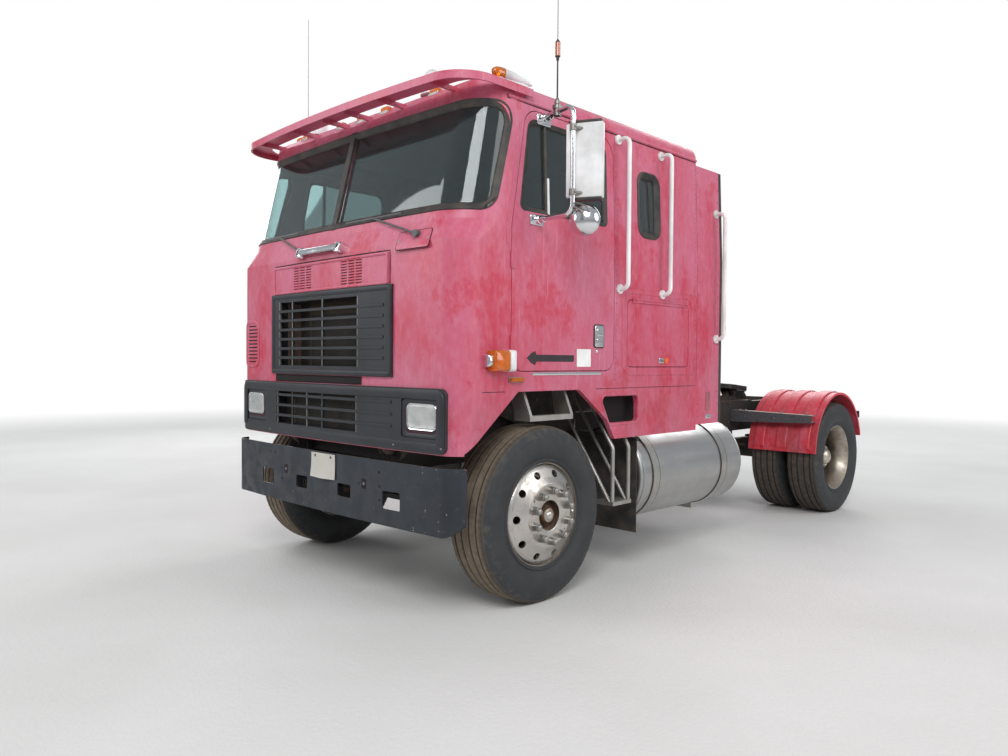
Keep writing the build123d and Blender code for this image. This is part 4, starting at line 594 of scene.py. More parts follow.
def round_rect(width, height, radius, steps=5, center=(0, 0)):
    """Corners of a rectangle with round corners, anticlockwise."""
    out = []
    for sx, sy, first in ((1, 1, 0), (-1, 1, 90), (-1, -1, 180), (1, -1, 270)):
        for k in range(steps + 1):
            angle = math.radians(first + 90 * k / steps)
            out.append((center[0] + sx * (width / 2 - radius) + radius * math.cos(angle),
                        center[1] + sy * (height / 2 - radius) + radius * math.sin(angle)))
    return out


# Tyres: ribbed treads with worn shoulders over plain sidewalls
def tyre_finish(name, light, dark):
    """Dark sidewall rubber; road dust on the tread and a lighter scuff ring on the shoulder."""
    f = Finish(name, srgb(30, 31, 33), roughness=0.72)
    radius = f.wheel_radius()
    tread = f.spread(radius, 0.478, 0.492)
    groove = f.math("MULTIPLY", f.spread(radius, 0.4965, 0.489), tread)
    clouds = f.noise(9, detail=7, rough=0.65, low=0.3, high=0.75)
    side_tone = f.cover(clouds, 0.35, srgb(38, 40, 43), srgb(74, 74, 74))
    scuffs = f.math("MULTIPLY", f.spread(radius, 0.4, 0.47), f.noise(26, (0.4, 1, 1), detail=5, low=0.52,
                                                                     high=0.8))
    side_tone = f.cover(scuffs, 0.4, side_tone, srgb(112, 104, 94))
    dust = f.mix(f.noise(30, detail=6, low=0.3, high=0.8), dark, light)
    tread_tone = f.mix(groove, dust, srgb(34, 31, 29))
    f.feed("Base Color", f.mix(tread, side_tone, tread_tone))
    f.feed("Roughness", f.spread(tread, 0, 1, 0.62, 0.92))
    f.bump(f.noise(300, detail=3), 0.0006, 0.5)
    return f.material


TREAD_HALF = 0.117
GROOVES = (-0.083, -0.03, 0.03, 0.083)
GROOVE_HALF = 0.0065
GROOVE_DEPTH = 0.013
FRONT_WHEEL_X = 1.012
REAR_WHEEL_X = 1.08
TWIN_PITCH = 0.34


def tyre_profile():
    """Bead to bead: sidewall with its rim ring and swell, shoulder, and ribs between the grooves."""
    side = [(-0.1165, 0.2875), (-0.121, 0.299), (-0.127, 0.3025), (-0.1285, 0.311), (-0.124, 0.3165),
            (-0.134, 0.333), (-0.1435, 0.358), (-0.1472, 0.385), (-0.1462, 0.41), (-0.1415, 0.433),
            (-0.14, 0.4345), (-0.1405, 0.4385), (-0.136, 0.452), (-0.1275, 0.4745), (-0.1235, 0.4815)]
    ribs = [(-TREAD_HALF, 0.4925)]
    for middle in GROOVES:
        crown = 0.4995 - 0.004 * (abs(middle) / TREAD_HALF) ** 2
        ribs += [(middle - GROOVE_HALF - 0.0015, crown), (middle - GROOVE_HALF, crown - 0.002),
                 (middle - GROOVE_HALF + 0.002, crown - GROOVE_DEPTH),
                 (middle + GROOVE_HALF - 0.002, crown - GROOVE_DEPTH),
                 (middle + GROOVE_HALF, crown - 0.002), (middle + GROOVE_HALF + 0.0015, crown)]
    ribs.append((TREAD_HALF, 0.4925))
    other = [(-a, r) for a, r in reversed(side)]
    return side + ribs + other


def shoulder_nibs(j, angle):
    """Small notches round the outer ribs' edges."""
    if j in SHOULDER_POINTS:
        return -0.0022 if math.sin(angle * 88) > 0.35 else 0.0
    return 0.0


TYRE_LINE = tyre_profile()
SHOULDER_POINTS = {j for j, (a, r) in enumerate(TYRE_LINE) if abs(abs(a) - TREAD_HALF) < 1e-6}
FRONT_RUBBER = tyre_finish("front_rubber", srgb(132, 119, 102), srgb(100, 88, 75))
REAR_RUBBER = tyre_finish("rear_rubber", srgb(92, 83, 74), srgb(60, 54, 49))


def make_tyres():
    for label, side in SIDES:
        front = Piece(f"tyre_front_{label}", (side * FRONT_WHEEL_X, FRONT_AXLE_Y, WHEEL_Z))
        front.lathe(TYRE_LINE, FRONT_RUBBER, segments=352, wave=shoulder_nibs)
        front.done(f"front_wheel_{label}", (f"front_tyre_{label}",), crease=32)
        twins = Piece(f"tyres_rear_{label}", (side * REAR_WHEEL_X, REAR_AXLE_Y, WHEEL_Z))
        for x in (0, -side * TWIN_PITCH):
            twins.lathe(TYRE_LINE, REAR_RUBBER, center=(x, 0, 0), segments=176, wave=shoulder_nibs)
        twins.done(f"rear_wheels_{label}", (f"rear_tyres_{label}",), crease=32)


# Wheels: along the axle from the rim's middle plane, outwards, and radius
def wheel_metal(name, color, stain, share, roughness):
    """Aluminium with turned grain round the hub, brake dust and stains."""
    f = Finish(name, color, roughness=roughness, metallic=1.0)
    radius = f.wheel_radius()
    rings = f.new("ShaderNodeTexNoise", noise_dimensions="1D")
    f.link(f.math("MULTIPLY", radius, 900), rings.inputs["W"])
    rings.inputs["Scale"].default_value = 1
    turned = f.spread(rings.outputs["Fac"], 0.3, 0.7)
    clouds = f.noise(11, detail=7, rough=0.7, low=0.62 - 0.3 * share, high=0.95 - 0.3 * share)
    tone = f.cover(clouds, 0.75, color, stain)
    tone = f.cover(turned, 0.12, tone, srgb(150, 150, 150))
    f.feed("Base Color", tone)
    f.feed("Roughness", f.math("ADD", f.spread(clouds, 0, 1, roughness, roughness + 0.3),
                               f.spread(turned, 0, 1, -0.04, 0.06)))
    f.feed("Metallic", f.spread(clouds, 0, 1, 1.0, 0.75))
    f.bump(turned, 0.00015, 0.6)
    return f.material


WHEEL_BRIGHT = wheel_metal("wheel_bright", srgb(206, 202, 196), srgb(150, 134, 116), 0.45, 0.3)
WHEEL_DULL = wheel_metal("wheel_dull", srgb(196, 188, 176), srgb(122, 98, 74), 0.85, 0.36)
CHROME = bright_metal("chrome", srgb(226, 228, 230), 0.1, (1, 1, 1), 0.22, 24)
HUB_IRON = dirty_metal("hub_iron", srgb(58, 46, 38), srgb(112, 74, 48), 0.9, 0.75, 0.4)
# Dark dish of the rear wheels: dirt and painted shade of the recess round the hub
WHEEL_DIRT_AND_SHADE = dirty_metal("wheel_dirty", srgb(66, 58, 50), srgb(96, 78, 60), 0.7, 0.6, 0.5)
NUT_RING = 0.1425
NUTS = 10
HAND_HOLES = 10
HAND_HOLE_R = 0.0228
LIP_DEPTH = 0.022
NUT_METAL = bright_metal("nut_metal", srgb(158, 156, 150), 0.34, (1, 1, 1), 0.5, 60)
HUB_BRIGHT = wheel_metal("hub_bright", srgb(214, 206, 190), srgb(156, 134, 104), 0.5, 0.25)


def around(x, radius, count, first=0):
    """Places on a circle round an axle, from an angle in degrees on."""
    angles = (math.radians(first) + 2 * math.pi * k / count for k in range(count))
    return [Vector((x, math.sin(angle) * radius, math.cos(angle) * radius)) for angle in angles]


def nut_cover(piece, place, length, radius, side):
    """Long cover with a skirt, a plain barrel and a stepped dome."""
    r = radius
    profile = [(0, r * 1.12), (0.004, r * 1.12), (0.006, r), (length - 0.018, r * 0.96),
               (length - 0.016, r * 0.84), (length - 0.008, r * 0.8), (length - 0.003, r * 0.6),
               (length - 0.0008, r * 0.3), (length, 0)]
    piece.lathe(profile, NUT_METAL, place, (side, 0, 0), 24)


def make_front_wheel(label, side):
    piece = Piece(f"wheel_front_{label}", (side * FRONT_WHEEL_X, FRONT_AXLE_Y, WHEEL_Z))
    axis = (side, 0, 0)
    piece.lathe([(0.1175, 0.288), (0.118, 0.2975), (0.1165, 0.2985), (0.11, 0.2985), (0.1085, 0.2965),
                 (0.1085, 0.2885), (0.104, 0.2845), (0.09, 0.28), (0.03, 0.256), (-0.03, 0.256),
                 (-0.106, 0.284), (-0.1085, 0.2965), (-0.118, 0.2975), (-0.118, 0.288), (-0.105, 0.272),
                 (-0.035, 0.245), (0.035, 0.245), (0.085, 0.27)], WHEEL_DULL, axis=axis)
    slope = [(0.1085, 0.28), (0.1115, 0.2775), (0.115, 0.2735), (0.1195, 0.268), (0.124, 0.261)]
    foot = [(0.145, 0.212), (0.1545, 0.195), (0.1605, 0.185), (0.164, 0.1765), (0.165, 0.17),
            (0.165, 0.088), (0.1635, 0.0852), (0.16, 0.0845), (0.145, 0.0845)]
    piece.lathe(slope, WHEEL_BRIGHT, axis=axis)
    piece.lathe(foot, WHEEL_BRIGHT, axis=axis)
    hand_hole_band(piece, side, slope[-1], foot[0])
    for place in around(side * 0.1645, NUT_RING, NUTS):
        nut_cover(piece, place, 0.06, 0.0222, side)
    for k in (3, 8):
        angle = math.radians(36 * k + 18)
        piece.lathe([(0.1652, 0.0052), (0.1655, 0)], HUB_IRON,
                    (0, math.sin(angle) * 0.158, math.cos(angle) * 0.158), axis, 14)
    piece.lathe([(0.145, 0.085), (0.125, 0.08), (0.124, 0.056), (0.132, 0.053), (0.148, 0.05),
                 (0.1505, 0.0475), (0.151, 0.04)], HUB_IRON, axis=axis, segments=60)
    piece.lathe([(0.151, 0.041), (0.16, 0.0395), (0.164, 0.035), (0.166, 0.0265)], WHEEL_DULL, axis=axis,
                segments=60)
    piece.lathe([(0.166, 0.0265), (0.17, 0.025), (0.1745, 0.019), (0.1765, 0.011), (0.177, 0)],
                WHEEL_BRIGHT, axis=axis, segments=48)
    for place in around(side * 0.1505, 0.0455, 6, 12):
        piece.bolt(place, axis, 0.0036, HUB_IRON, False)
    piece.lathe([(-0.11, 0.204), (0.01, 0.204), (0.035, 0.186), (0.12, 0.172)], HUB_IRON, axis=axis,
                segments=64)
    piece.lathe([(-0.11, 0.204), (-0.1115, 0.15), (-0.1115, 0.041)], HUB_IRON, axis=axis, segments=64)
    piece.done(f"front_wheel_{label}", (f"front_wheel_{label}",), crease=34)


def hand_hole_band(piece, side, outer, inner):
    """Cone of the disc between two circles, with round holes and their drawn-in rims."""
    (x0, r0), (x1, r1) = outer, inner
    part = bmesh.new()
    steps = 16
    mid_r = (r0 + r1) / 2
    tilt = math.hypot(x1 - x0, r1 - r0)
    wedge = math.pi / HAND_HOLES
    for h in range(HAND_HOLES):
        center_angle = wedge * (2 * h + 1)
        square, ring, lip = [], [], []
        for k in range(steps):
            a = 2 * math.pi * k / steps
            ca, sa = math.cos(a), math.sin(a)
            reach = 1 / max(abs(ca), abs(sa))
            edge = (ca * reach * wedge, 0.5 + 0.5 * sa * reach)
            hole = (ca * HAND_HOLE_R / mid_r, 0.5 + sa * HAND_HOLE_R / tilt)
            for target, (turn, share), sink in ((square, edge, 0), (ring, hole, 0), (lip, hole, LIP_DEPTH)):
                r = r0 + (r1 - r0) * share
                x = x0 + (x1 - x0) * share
                point = Vector((side * (x - sink * 0.75), math.sin(center_angle + turn) * (r - sink * 0.5),
                                math.cos(center_angle + turn) * (r - sink * 0.5)))
                target.append(part.verts.new(point))
        bridge(part, (square, ring, lip))
    bmesh.ops.remove_doubles(part, verts=part.verts, dist=4e-4)
    piece.absorb(part, WHEEL_BRIGHT)


def make_rear_wheels(label, side):
    piece = Piece(f"wheels_rear_{label}", (side * REAR_WHEEL_X, REAR_AXLE_Y, WHEEL_Z))
    axis = (side, 0, 0)
    rim = [(0.118, 0.288), (0.118, 0.2975), (0.1165, 0.2985), (0.11, 0.2985), (0.1085, 0.2965),
           (0.1085, 0.2885), (0.1, 0.2835), (0.03, 0.256), (-0.03, 0.256), (-0.106, 0.284),
           (-0.1085, 0.2965), (-0.118, 0.2975), (-0.118, 0.288), (-0.1, 0.276), (-0.04, 0.245),
           (0.04, 0.245), (0.1, 0.276)]
    for x in (0, -TWIN_PITCH):
        piece.lathe(rim, WHEEL_DULL, (side * x, 0, 0), axis, 96, closed=True)
    piece.lathe([(0.1085, 0.2885), (0.1, 0.2835), (0.03, 0.256), (-0.03, 0.245)], WHEEL_BRIGHT, axis=axis)
    dish = [(-0.035, 0.245), (-0.07, 0.244), (-0.095, 0.234), (-0.133, 0.208), (-0.15, 0.192),
            (-0.153, 0.184), (-0.153, 0.112), (-0.15, 0.108), (-0.14, 0.106)]
    # The dish is dark: dirt and painted shade in the recess round the hub
    piece.lathe(dish, WHEEL_DIRT_AND_SHADE, (0, 0, 0), axis)
    mirrored = [(-TWIN_PITCH - a, r) for a, r in dish[:-3]]
    piece.lathe(mirrored, WHEEL_DULL, (0, 0, 0), axis)
    for place in around(side * -0.153, NUT_RING, NUTS):
        nut_cover(piece, place, 0.05, 0.0165, side)
    piece.lathe([(-0.153, 0.112), (-0.138, 0.108), (-0.05, 0.106), (-0.042, 0.101), (0.001, 0.099),
                 (0.006, 0.096)], HUB_IRON, axis=axis, segments=64)
    piece.lathe([(0.006, 0.098), (0.012, 0.097), (0.014, 0.074), (0.028, 0.07), (0.045, 0.058),
                 (0.057, 0.04), (0.064, 0.018), (0.0655, 0)], HUB_BRIGHT, axis=axis, segments=64)
    for place in around(side * 0.0125, 0.086, 8):
        piece.bolt(place, axis, 0.0065, NUT_METAL, False)
    piece.lathe([(-0.47, 0.204), (-0.26, 0.204), (-0.22, 0.19), (-0.16, 0.188)], HUB_IRON, axis=axis,
                segments=64)
    piece.lathe([(-0.47, 0.204), (-0.475, 0.15), (-0.475, 0.049)], HUB_IRON, axis=axis, segments=64)
    piece.done(f"rear_wheels_{label}", (f"rear_wheels_{label}",), crease=34)


make_tyres()
for label, side in SIDES:
    make_front_wheel(label, side)
    make_rear_wheels(label, side)


# Cab glass: rubber gaskets, division bars and the black centre bar
BLACK_RUBBER = MATERIALS["rubber"]
GRILLE_PLASTIC = MATERIALS["grille_plastic"]
CAB_PAINT = MATERIALS["cab_paint"]
# Nearly black: seam lines and black lamp housings, and painted shade in gaps and recesses
BLACK_TRIM_AND_SHADE = moulded_plastic("seam_black", srgb(46, 24, 30), 0.8, 0.1)
WINDSCREEN = ((-1.2413, 2.15, 0.09), (1.2413, 2.15, 0.09), (1.2596, 2.742, 0.12), (-1.2596, 2.742, 0.12))
# height, half width, nose, sag and corner radius of the cab's front
CORNERS = ((2.1, 1.143, -0.662, 0.024, 0.27), (2.785, 1.117, -0.491, 0.024, 0.21))
DOOR_WINDOW = ((-0.22, 2.185, 0.03), (-0.137, 2.69, 0.07), (0.55, 2.69, 0.08), (0.55, 2.185, 0.03))
SLEEPER_WINDOW = ((0.897, 2.182, 0.06), (0.897, 2.568, 0.06), (1.11, 2.568, 0.06), (1.11, 2.182, 0.06))


def ring_points(corners, offset, arc_steps=8, straight_steps=10):
    """Points round an outline moved out by offset; equal counts for any offset."""
    count = len(corners)
    lines = []
    middle = sum((Vector(c[:2]) for c in corners), Vector((0, 0))) / count
    for i in range(count):
        a, b = Vector(corners[i][:2]), Vector(corners[(i + 1) % count][:2])
        run = (b - a).normalized()
        out = Vector((run.y, -run.x))
        if out.dot(a - middle) < 0:
            out = -out
        lines.append((a + out * offset, run))
    moved = []
    for i in range(count):
        (p, u), (q, v) = lines[i - 1], lines[i]
        cross = u.x * v.y - u.y * v.x
        share = ((q - p).x * v.y - (q - p).y * v.x) / cross
        moved.append(p + u * share)
    points, starts = [], []
    for i in range(count):
        here, back, ahead = moved[i], moved[i - 1], moved[(i + 1) % count]
        radius = max(corners[i][2] + offset, 0.004)
        b, a = (back - here).normalized(), (ahead - here).normalized()
        half = math.acos(max(-1, min(1, b.dot(a)))) / 2
        reach = radius / math.tan(half)
        center = here + (a + b).normalized() * (radius / math.sin(half))
        start, end = here + b * reach - center, here + a * reach - center
        arc = []
        total = math.atan2(start.x * end.y - start.y * end.x, start.dot(end))
        for k in range(arc_steps + 1):
            turn = total * k / arc_steps
            arc.append(center + Vector((start.x * math.cos(turn) - start.y * math.sin(turn),
                                        start.x * math.sin(turn) + start.y * math.cos(turn))))
        starts.append(arc)
    for i in range(count):
        arc, following = starts[i], starts[(i + 1) % count]
        points.extend(arc)
        for k in range(1, straight_steps):
            points.append(arc[-1].lerp(following[0], k / straight_steps))
    return points


def gasket(piece, corners, wall, glass, project, material, out=0.01, over=0.036, crown=0.006, steps=10):
    """Rubber between two surfaces: project(u, v) gives a ray's start and direction."""
    loops = []
    for offset, tree, lift in ((out, wall, -0.001), (out, wall, crown * 0.5), (out * 0.45, wall, crown),
                               (-over * 0.55, glass, 0.012), (-over * 0.93, glass, 0.006),
                               (-over, glass, -0.001)):
        path = ring_points(corners, offset, straight_steps=steps)
        loops.append([land(tree, *project(u, v), lift)[0] for u, v in path])
    loops.insert(3, [low.lerp(high, 0.35) for low, high in zip(loops[2], loops[3])])
    part = bmesh.new()
    bridge(part, [[part.verts.new(p) for p in loop] for loop in loops])
    piece.absorb(part, material)


def from_front(x, z):
    return Vector((x, -4.5, z)), Vector((0, 1, 0))


def round_corner(u, z):
    """Ray to the wall at a way u round the cab's front from its middle."""
    low, high = CORNERS
    share = (z - low[0]) / (high[0] - low[0])
    half, nose, sag, radius = (a + (b - a) * share for a, b in zip(low[1:], high[1:]))
    side = 1 if u >= 0 else -1
    over = abs(u) - (half - radius)
    center = Vector((side * (half - radius), station(nose + sag + radius), z))
    if over <= 0:
        return from_front(u, z)
    if over < radius * math.pi / 2:
        way = Vector((side * math.sin(over / radius), -math.cos(over / radius), 0))
        return center + way * 2, -way
    return Vector((side * 2.5, center.y + over - radius * math.pi / 2, z)), Vector((-side, 0, 0))


def side_ray(side):
    def project(along, z):
        return Vector((side * 2.5, station(along), z)), Vector((-side, 0, 0))
    return project


front_wall = surface_of("cab_front")
front_glass = surface_of("cab_glass")


def make_cab_glass_trim():
    piece = Piece("window_gaskets")
    gasket(piece, WINDSCREEN, surface_of("cab_front", "cab_sides"),
           surface_of("cab_glass", "cab_front", "cab_sides"), round_corner, BLACK_RUBBER, out=0.006,
           steps=50)
    rows = []
    for k in range(13):
        z = 2.14 + (2.752 - 2.14) * k / 12
        place, normal = land(front_wall, *from_front(0, z))
        rows.append([place + Vector((x, 0, 0)) + normal * lift for x, lift in
                     ((-0.024, -0.014), (-0.0225, 0.003), (0.0, 0.006), (0.0225, 0.003), (0.024, -0.014))])
    bar = bmesh.new()
    bridge(bar, [[bar.verts.new(p) for p in row] for row in rows], closed=False)
    piece.absorb(bar, BLACK_RUBBER)
    for side in (1, -1):
        gasket(piece, SLEEPER_WINDOW, surface_of("cab_sides"), front_glass, side_ray(side), BLACK_RUBBER,
               out=0.022, over=0.024, crown=0.009)
    piece.done("cab", crease=50)


def make_door_trim(label, side):
    """Window gasket, division bar, handle, step arrow, blank label and rivets of one door."""
    ray = side_ray(side)
    door = surface_of(f"door_{label}")
    glass = surface_of(f"door_glass_{label}")
    piece = Piece(f"door_trim_{label}")
    gasket(piece, DOOR_WINDOW, door, glass, ray, BLACK_RUBBER, out=0.005, over=0.022, crown=0.003)
    out = Vector((side, 0, 0))
    for low, high, material, width, stand in ((2.18, 2.7, BLACK_RUBBER, 0.011, 0.012),
                                              (2.175, 2.405, WHITE_PAINT, 0.006, 0.02)):
        shift = 0.0 if material is BLACK_RUBBER else 0.01
        points = [land(glass, *ray(0.002 + shift, low + 0.02 + (high - low - 0.04) * k / 8),
                       stand)[0] for k in range(9)]
        points[0] += Vector((0, 0, -0.012))
        section = [(-width, -0.012), (-width, 0.0), (-width * 0.6, 0.003), (width * 0.6, 0.003),
                   (width, 0.0), (width, -0.012)]
        piece.strip(points, [out] * len(points), section, material)
    at = land(door, *ray(0.473, 1.516))[0]
    turn = frame_at(at, out)
    piece.prism(round_rect(0.1, 0.142, 0.018), 0.005, BLACK_RUBBER, turn, 0.001)
    piece.prism(round_rect(0.086, 0.128, 0.014), 0.009, CHROME, turn, 0.003)
    piece.prism(round_rect(0.06, 0.046, 0.01), 0.0145, CHROME, turn @ Matrix.Translation((0, 0.024, 0)),
                0.004)
    piece.prism(round_rect(0.054, 0.034, 0.008), 0.0108, CHROME, turn @ Matrix.Translation((0, -0.032, 0)),
                0.003)
    lock = land(door, *ray(0.455, 1.425))[0]
    piece.lathe([(0, 0.011), (0.004, 0.0105), (0.006, 0.008), (0.0062, 0.0025), (0.004, 0)], CHROME, lock,
                out, 24)
    arrow = land(door, *ray(0.04, 1.38))[0]
    pointer = -1 if side > 0 else 1
    shape = [(0.2, 0.019), (0.2, -0.019), (-0.125, -0.019), (-0.136, -0.039), (-0.162, -0.03),
             (-0.204, 0.0), (-0.162, 0.03), (-0.136, 0.039), (-0.125, 0.019)]
    face = [(-pointer * u, v) for u, v in shape]
    if pointer > 0:
        face = face[::-1]
    piece.prism(face, 0.0012, DECAL_BLACK, frame_at(arrow, out), 0.0)
    tag = land(door, *ray(0.333, 1.384))[0]
    piece.prism(round_rect(0.13, 0.104, 0.004, 2), 0.0011, LABEL_WHITE, frame_at(tag, out), 0.0)
    for z0, z1, y in ((1.43, 2.05, -0.262), (1.4, 2.62, 0.602)):
        for k in range(int((z1 - z0) / 0.062)):
            place = land(door, *ray(y, z0 + 0.062 * k))[0]
            piece.bolt(place - out * 0.0012, out, 0.0042, CAB_PAINT, sides=10)
    piece.done(f"door_{label}", crease=45)


WHITE_PAINT = moulded_plastic("white_paint", srgb(214, 216, 218), 0.38, 0.12, 60)
DECAL_BLACK = moulded_plastic("decal_black", srgb(38, 30, 34), 0.6, 0.1, 240)
LABEL_WHITE = moulded_plastic("label_white", srgb(222, 222, 218), 0.55, 0.1, 200)
make_cab_glass_trim()
for label, side in SIDES:
    make_door_trim(label, side)


# Cab front: grille posts and screws, access flap, chrome handle, corner vent, plate and bumper bolts
def rivet_row(piece, tree, project, start, end, pitch, size, material):
    """Domed rivets between two (u, v) places of a wall."""
    start, end = Vector(start), Vector(end)
    count = max(1, round((end - start).length / pitch))
    for k in range(count + 1):
        place, normal = land(tree, *project(*start.lerp(end, k / count)))
        piece.lathe([(-0.001, size), (0.0011, size * 0.8), (0.0019, size * 0.42), (0.0021, 0)],
                    material, place, normal, 10)


def dense(path, pitch):
    """A closed path with extra points, so that it follows a curved wall."""
    out = []
    for a, b in zip(path, path[1:] + path[:1]):
        a, b = Vector(a), Vector(b)
        steps = max(1, math.ceil((b - a).length / pitch))
        out.extend(a.lerp(b, k / steps) for k in range(steps))
    return [tuple(p) for p in out]


def laid(tree, project, path, lift):
    """Points and normals of a path pressed on a wall."""
    return zip(*(land(tree, *project(u, v), lift) for u, v in path))


def laid_strip(piece, tree, project, path, width, height, material, closed=False):
    """Low rounded strip pressed along a path on a wall."""
    half = width / 2
    section = [(-half, 0), (-half * 0.9, height * 0.7), (-half * 0.45, height), (half * 0.45, height),
               (half * 0.9, height * 0.7), (half, 0)]
    piece.strip(*laid(tree, project, path, -0.001), section, material, closed)


LOUVRE_GROUPS = (-0.252, 0.272)
LOUVRE_COLUMNS = (-0.072, 0, 0.072)
LOUVRE_ROWS = 9
LOUVRE_FOOT = 1.794
LOUVRE_PITCH = 0.016
UPPER_POSTS = (-0.534, -0.369, -0.022, 0.335)
LOWER_POSTS = (-0.56154, -0.196, 0.32438)
GRILLE_SCREWS = ((-0.613, 1.297), (-0.613, 1.75), (0.613, 1.297), (0.613, 1.75), (0.358, 1.297),
                 (0.358, 1.75), (-0.05, 1.752), (-0.05, 1.297), (0.66, 0.905), (0.66, 1.195),
                 (-0.66, 0.905), (-0.66, 1.195), (1.03, 0.91), (1.03, 1.19), (-1.03, 0.91), (-1.03, 1.19))


def make_front_trim():
    piece = Piece("front_trim")
    grille = surface_of("front_grilles")
    wall = surface_of("cab_front", "lower_panel", "louvre_panel")
    louvres = surface_of("louvre_panel")
    for group in LOUVRE_GROUPS:
        for column in LOUVRE_COLUMNS:
            for row in range(LOUVRE_ROWS):
                x, z = group + column, LOUVRE_FOOT + LOUVRE_PITCH * (row + 0.5)
                # Each slot is a dark red strip, painted shade inside the slot, with a raised lip above it
                laid_strip(piece, louvres, from_front, [(x - 0.0275, z), (x, z), (x + 0.0275, z)], 0.0058,
                           0.003, LOUVRE_SLOT_SHADE)
                laid_strip(piece, louvres, from_front,
                           [(x - 0.03, z + 0.0052), (x, z + 0.0052), (x + 0.03, z + 0.0052)], 0.0042,
                           0.0026, CAB_PAINT)
    rim = dense(round_rect(1.196, 0.16, 0.006, 2, (0, 1.866)), 0.1)
    laid_strip(piece, louvres, from_front, rim, 0.016, 0.0075, CAB_PAINT, True)
    # Dark line round the raised louvre panel: painted shade under its edge
    laid_strip(piece, wall, from_front,
               dense([(-0.612, 1.785), (0.612, 1.785), (0.612, 1.961), (-0.612, 1.961)], 0.1), 0.009,
               0.0015, BLACK_TRIM_AND_SHADE, True)
    # Black strip along the gap above the lower grille band: painted shade in the gap
    laid_strip(piece, wall, from_front, [(-0.6 + 0.096 * k, 1.2445) for k in range(11)], 0.05, 0.0035,
               SLOT_SHADE_BLACK)
    for x in UPPER_POSTS:
        face = land(grille, *from_front(x, 1.551))[0].y
        piece.block((x - 0.0055, face + 0.003, 1.322), (x + 0.0055, face + 0.017, 1.728), POST_GREY, 0.002)
    for x in LOWER_POSTS:
        face = land(grille, *from_front(x, 1.07))[0].y
        piece.block((x - 0.0045, face + 0.003, 0.95), (x + 0.0045, face + 0.014, 1.172), POST_GREY, 0.002)
    for x, z in GRILLE_SCREWS:
        place, normal = land(grille, *from_front(x, z))
        piece.bolt(place, normal, 0.0062, DULL_STEEL, sides=14)
    flap, normal = land(wall, *from_front(0.799, 2.001))
    turn = frame_at(flap, normal)
    # Dark outline a little larger than the flap: painted shade in the gap round it
    piece.prism(round_rect(0.264, 0.11, 0.014), 0.0016, BLACK_TRIM_AND_SHADE, turn, 0.0)
    piece.prism(round_rect(0.256, 0.102, 0.012), 0.0038, CAB_PAINT, turn, 0.0018)
    for u in (-0.114, 0.114):
        piece.lathe([(0.0036, 0.008), (0.0052, 0.0068), (0.0056, 0)], DULL_STEEL,
                    turn @ Vector((u, 0.0, 0)), normal, 18)
    ends = []
    for x in (-0.262, 0.156):
        place, normal = land(wall, *from_front(x, 2.008))
        piece.prism(round_rect(0.056, 0.062, 0.014), 0.044, CHROME,
                    frame_at(place, normal) @ Matrix.Translation((0, 0, -0.001)), 0.006)
        # Dark patch on each handle end: painted shade of its hollow
        piece.prism(round_rect(0.026, 0.03, 0.008), 0.0445, SLOT_SHADE_BLACK, frame_at(place, normal), 0.001)
        ends.append((place, normal))
    stand = 0.036
    (a, n), (b, m) = ends
    bar = [(a + n * stand).lerp(b + m * stand, k / 6) for k in range(7)]
    piece.strip(bar, [(n + m).normalized()] * 7, [(-0.02, -0.01), (-0.02, 0.004), (-0.013, 0.009),
                                                  (0.013, 0.009), (0.02, 0.004), (0.02, -0.01)], CHROME)
    vent = surface_of("cab_front")
    outline = round_rect(0.206, 0.3, 0.06, 6, (-0.953, 1.465))
    laid_strip(piece, vent, from_front, outline, 0.02, 0.007, CAB_PAINT, True)
    for k in range(11):
        z = 1.345 + 0.024 * k
        reach = 0.078 if 0 < k < 10 else 0.06
        row = [(-0.953 + reach * t, z) for t in (-1, -0.6, -0.2, 0.2, 0.6, 1)]
        # Black strip in each vent slot: painted shade inside it
        laid_strip(piece, vent, from_front, row, 0.0115, 0.0012, SLOT_SHADE_BLACK)
        laid_strip(piece, vent, from_front, [(x, z + 0.0078) for x, z in row], 0.007, 0.0052, CAB_PAINT)
    piece.done("cab", crease=40)


def make_bumper_trim():
    piece = Piece("bumper_trim")
    face = surface_of("bumper")
    place, normal = land(face, *from_front(0.022, 0.7))
    turn = frame_at(place + normal * 0.004, normal)
    plate = bmesh.new()
    columns, rows = 14, 8
    grid = []
    for i in range(columns + 1):
        u = -0.125 + 0.25 * i / columns
        line = []
        for j in range(rows + 1):
            v = -0.042 + 0.147 * j / rows
            low = (0.105 - v) / 0.147
            bow = 0.016 * low ** 2 * (0.55 + 0.45 * math.cos(u * 9 + 0.6))
            bow += 0.006 * low * math.sin(u * 26 + 1.2)
            line.append(plate.verts.new((u, v, 0.002 + bow)))
        grid.append(line)
    for i in range(columns):
        for j in range(rows):
            plate.faces.new((grid[i][j], grid[i + 1][j], grid[i + 1][j + 1], grid[i][j + 1]))
    bmesh.ops.recalc_face_normals(plate, faces=plate.faces)
    bmesh.ops.solidify(plate, geom=plate.faces[:], thickness=0.0012)
    piece.absorb(plate, PLATE_WHITE, turn)
    for u in (-0.082, 0.082):
        piece.bolt(turn @ Vector((u, 0.088, 0.0025)), normal, 0.0065, DULL_STEEL)
    # Dark discs in the bumper's holes: painted shade inside them
    for x, z, size in BUMPER_HOLES:
        place, normal = land(face, *from_front(x, z))
        piece.lathe([(-0.001, size), (0.0006, size), (0.0007, 0)], SLOT_SHADE_BLACK, place, normal, 20)
    for sign in (1, -1):
        place, normal = land(face, *from_front(sign * 0.42, 0.668))
        # Dark slot under each clip: painted shade in the slot
        piece.prism(round_rect(0.04, 0.056, 0.003, 2), 0.0008, SLOT_SHADE_BLACK, frame_at(place, normal))
        piece.prism(round_rect(0.016, 0.016, 0.004, 2), 0.003, DULL_STEEL,
                    frame_at(place - normal * 0.0015, normal))
    piece.done("chassis", crease=40)


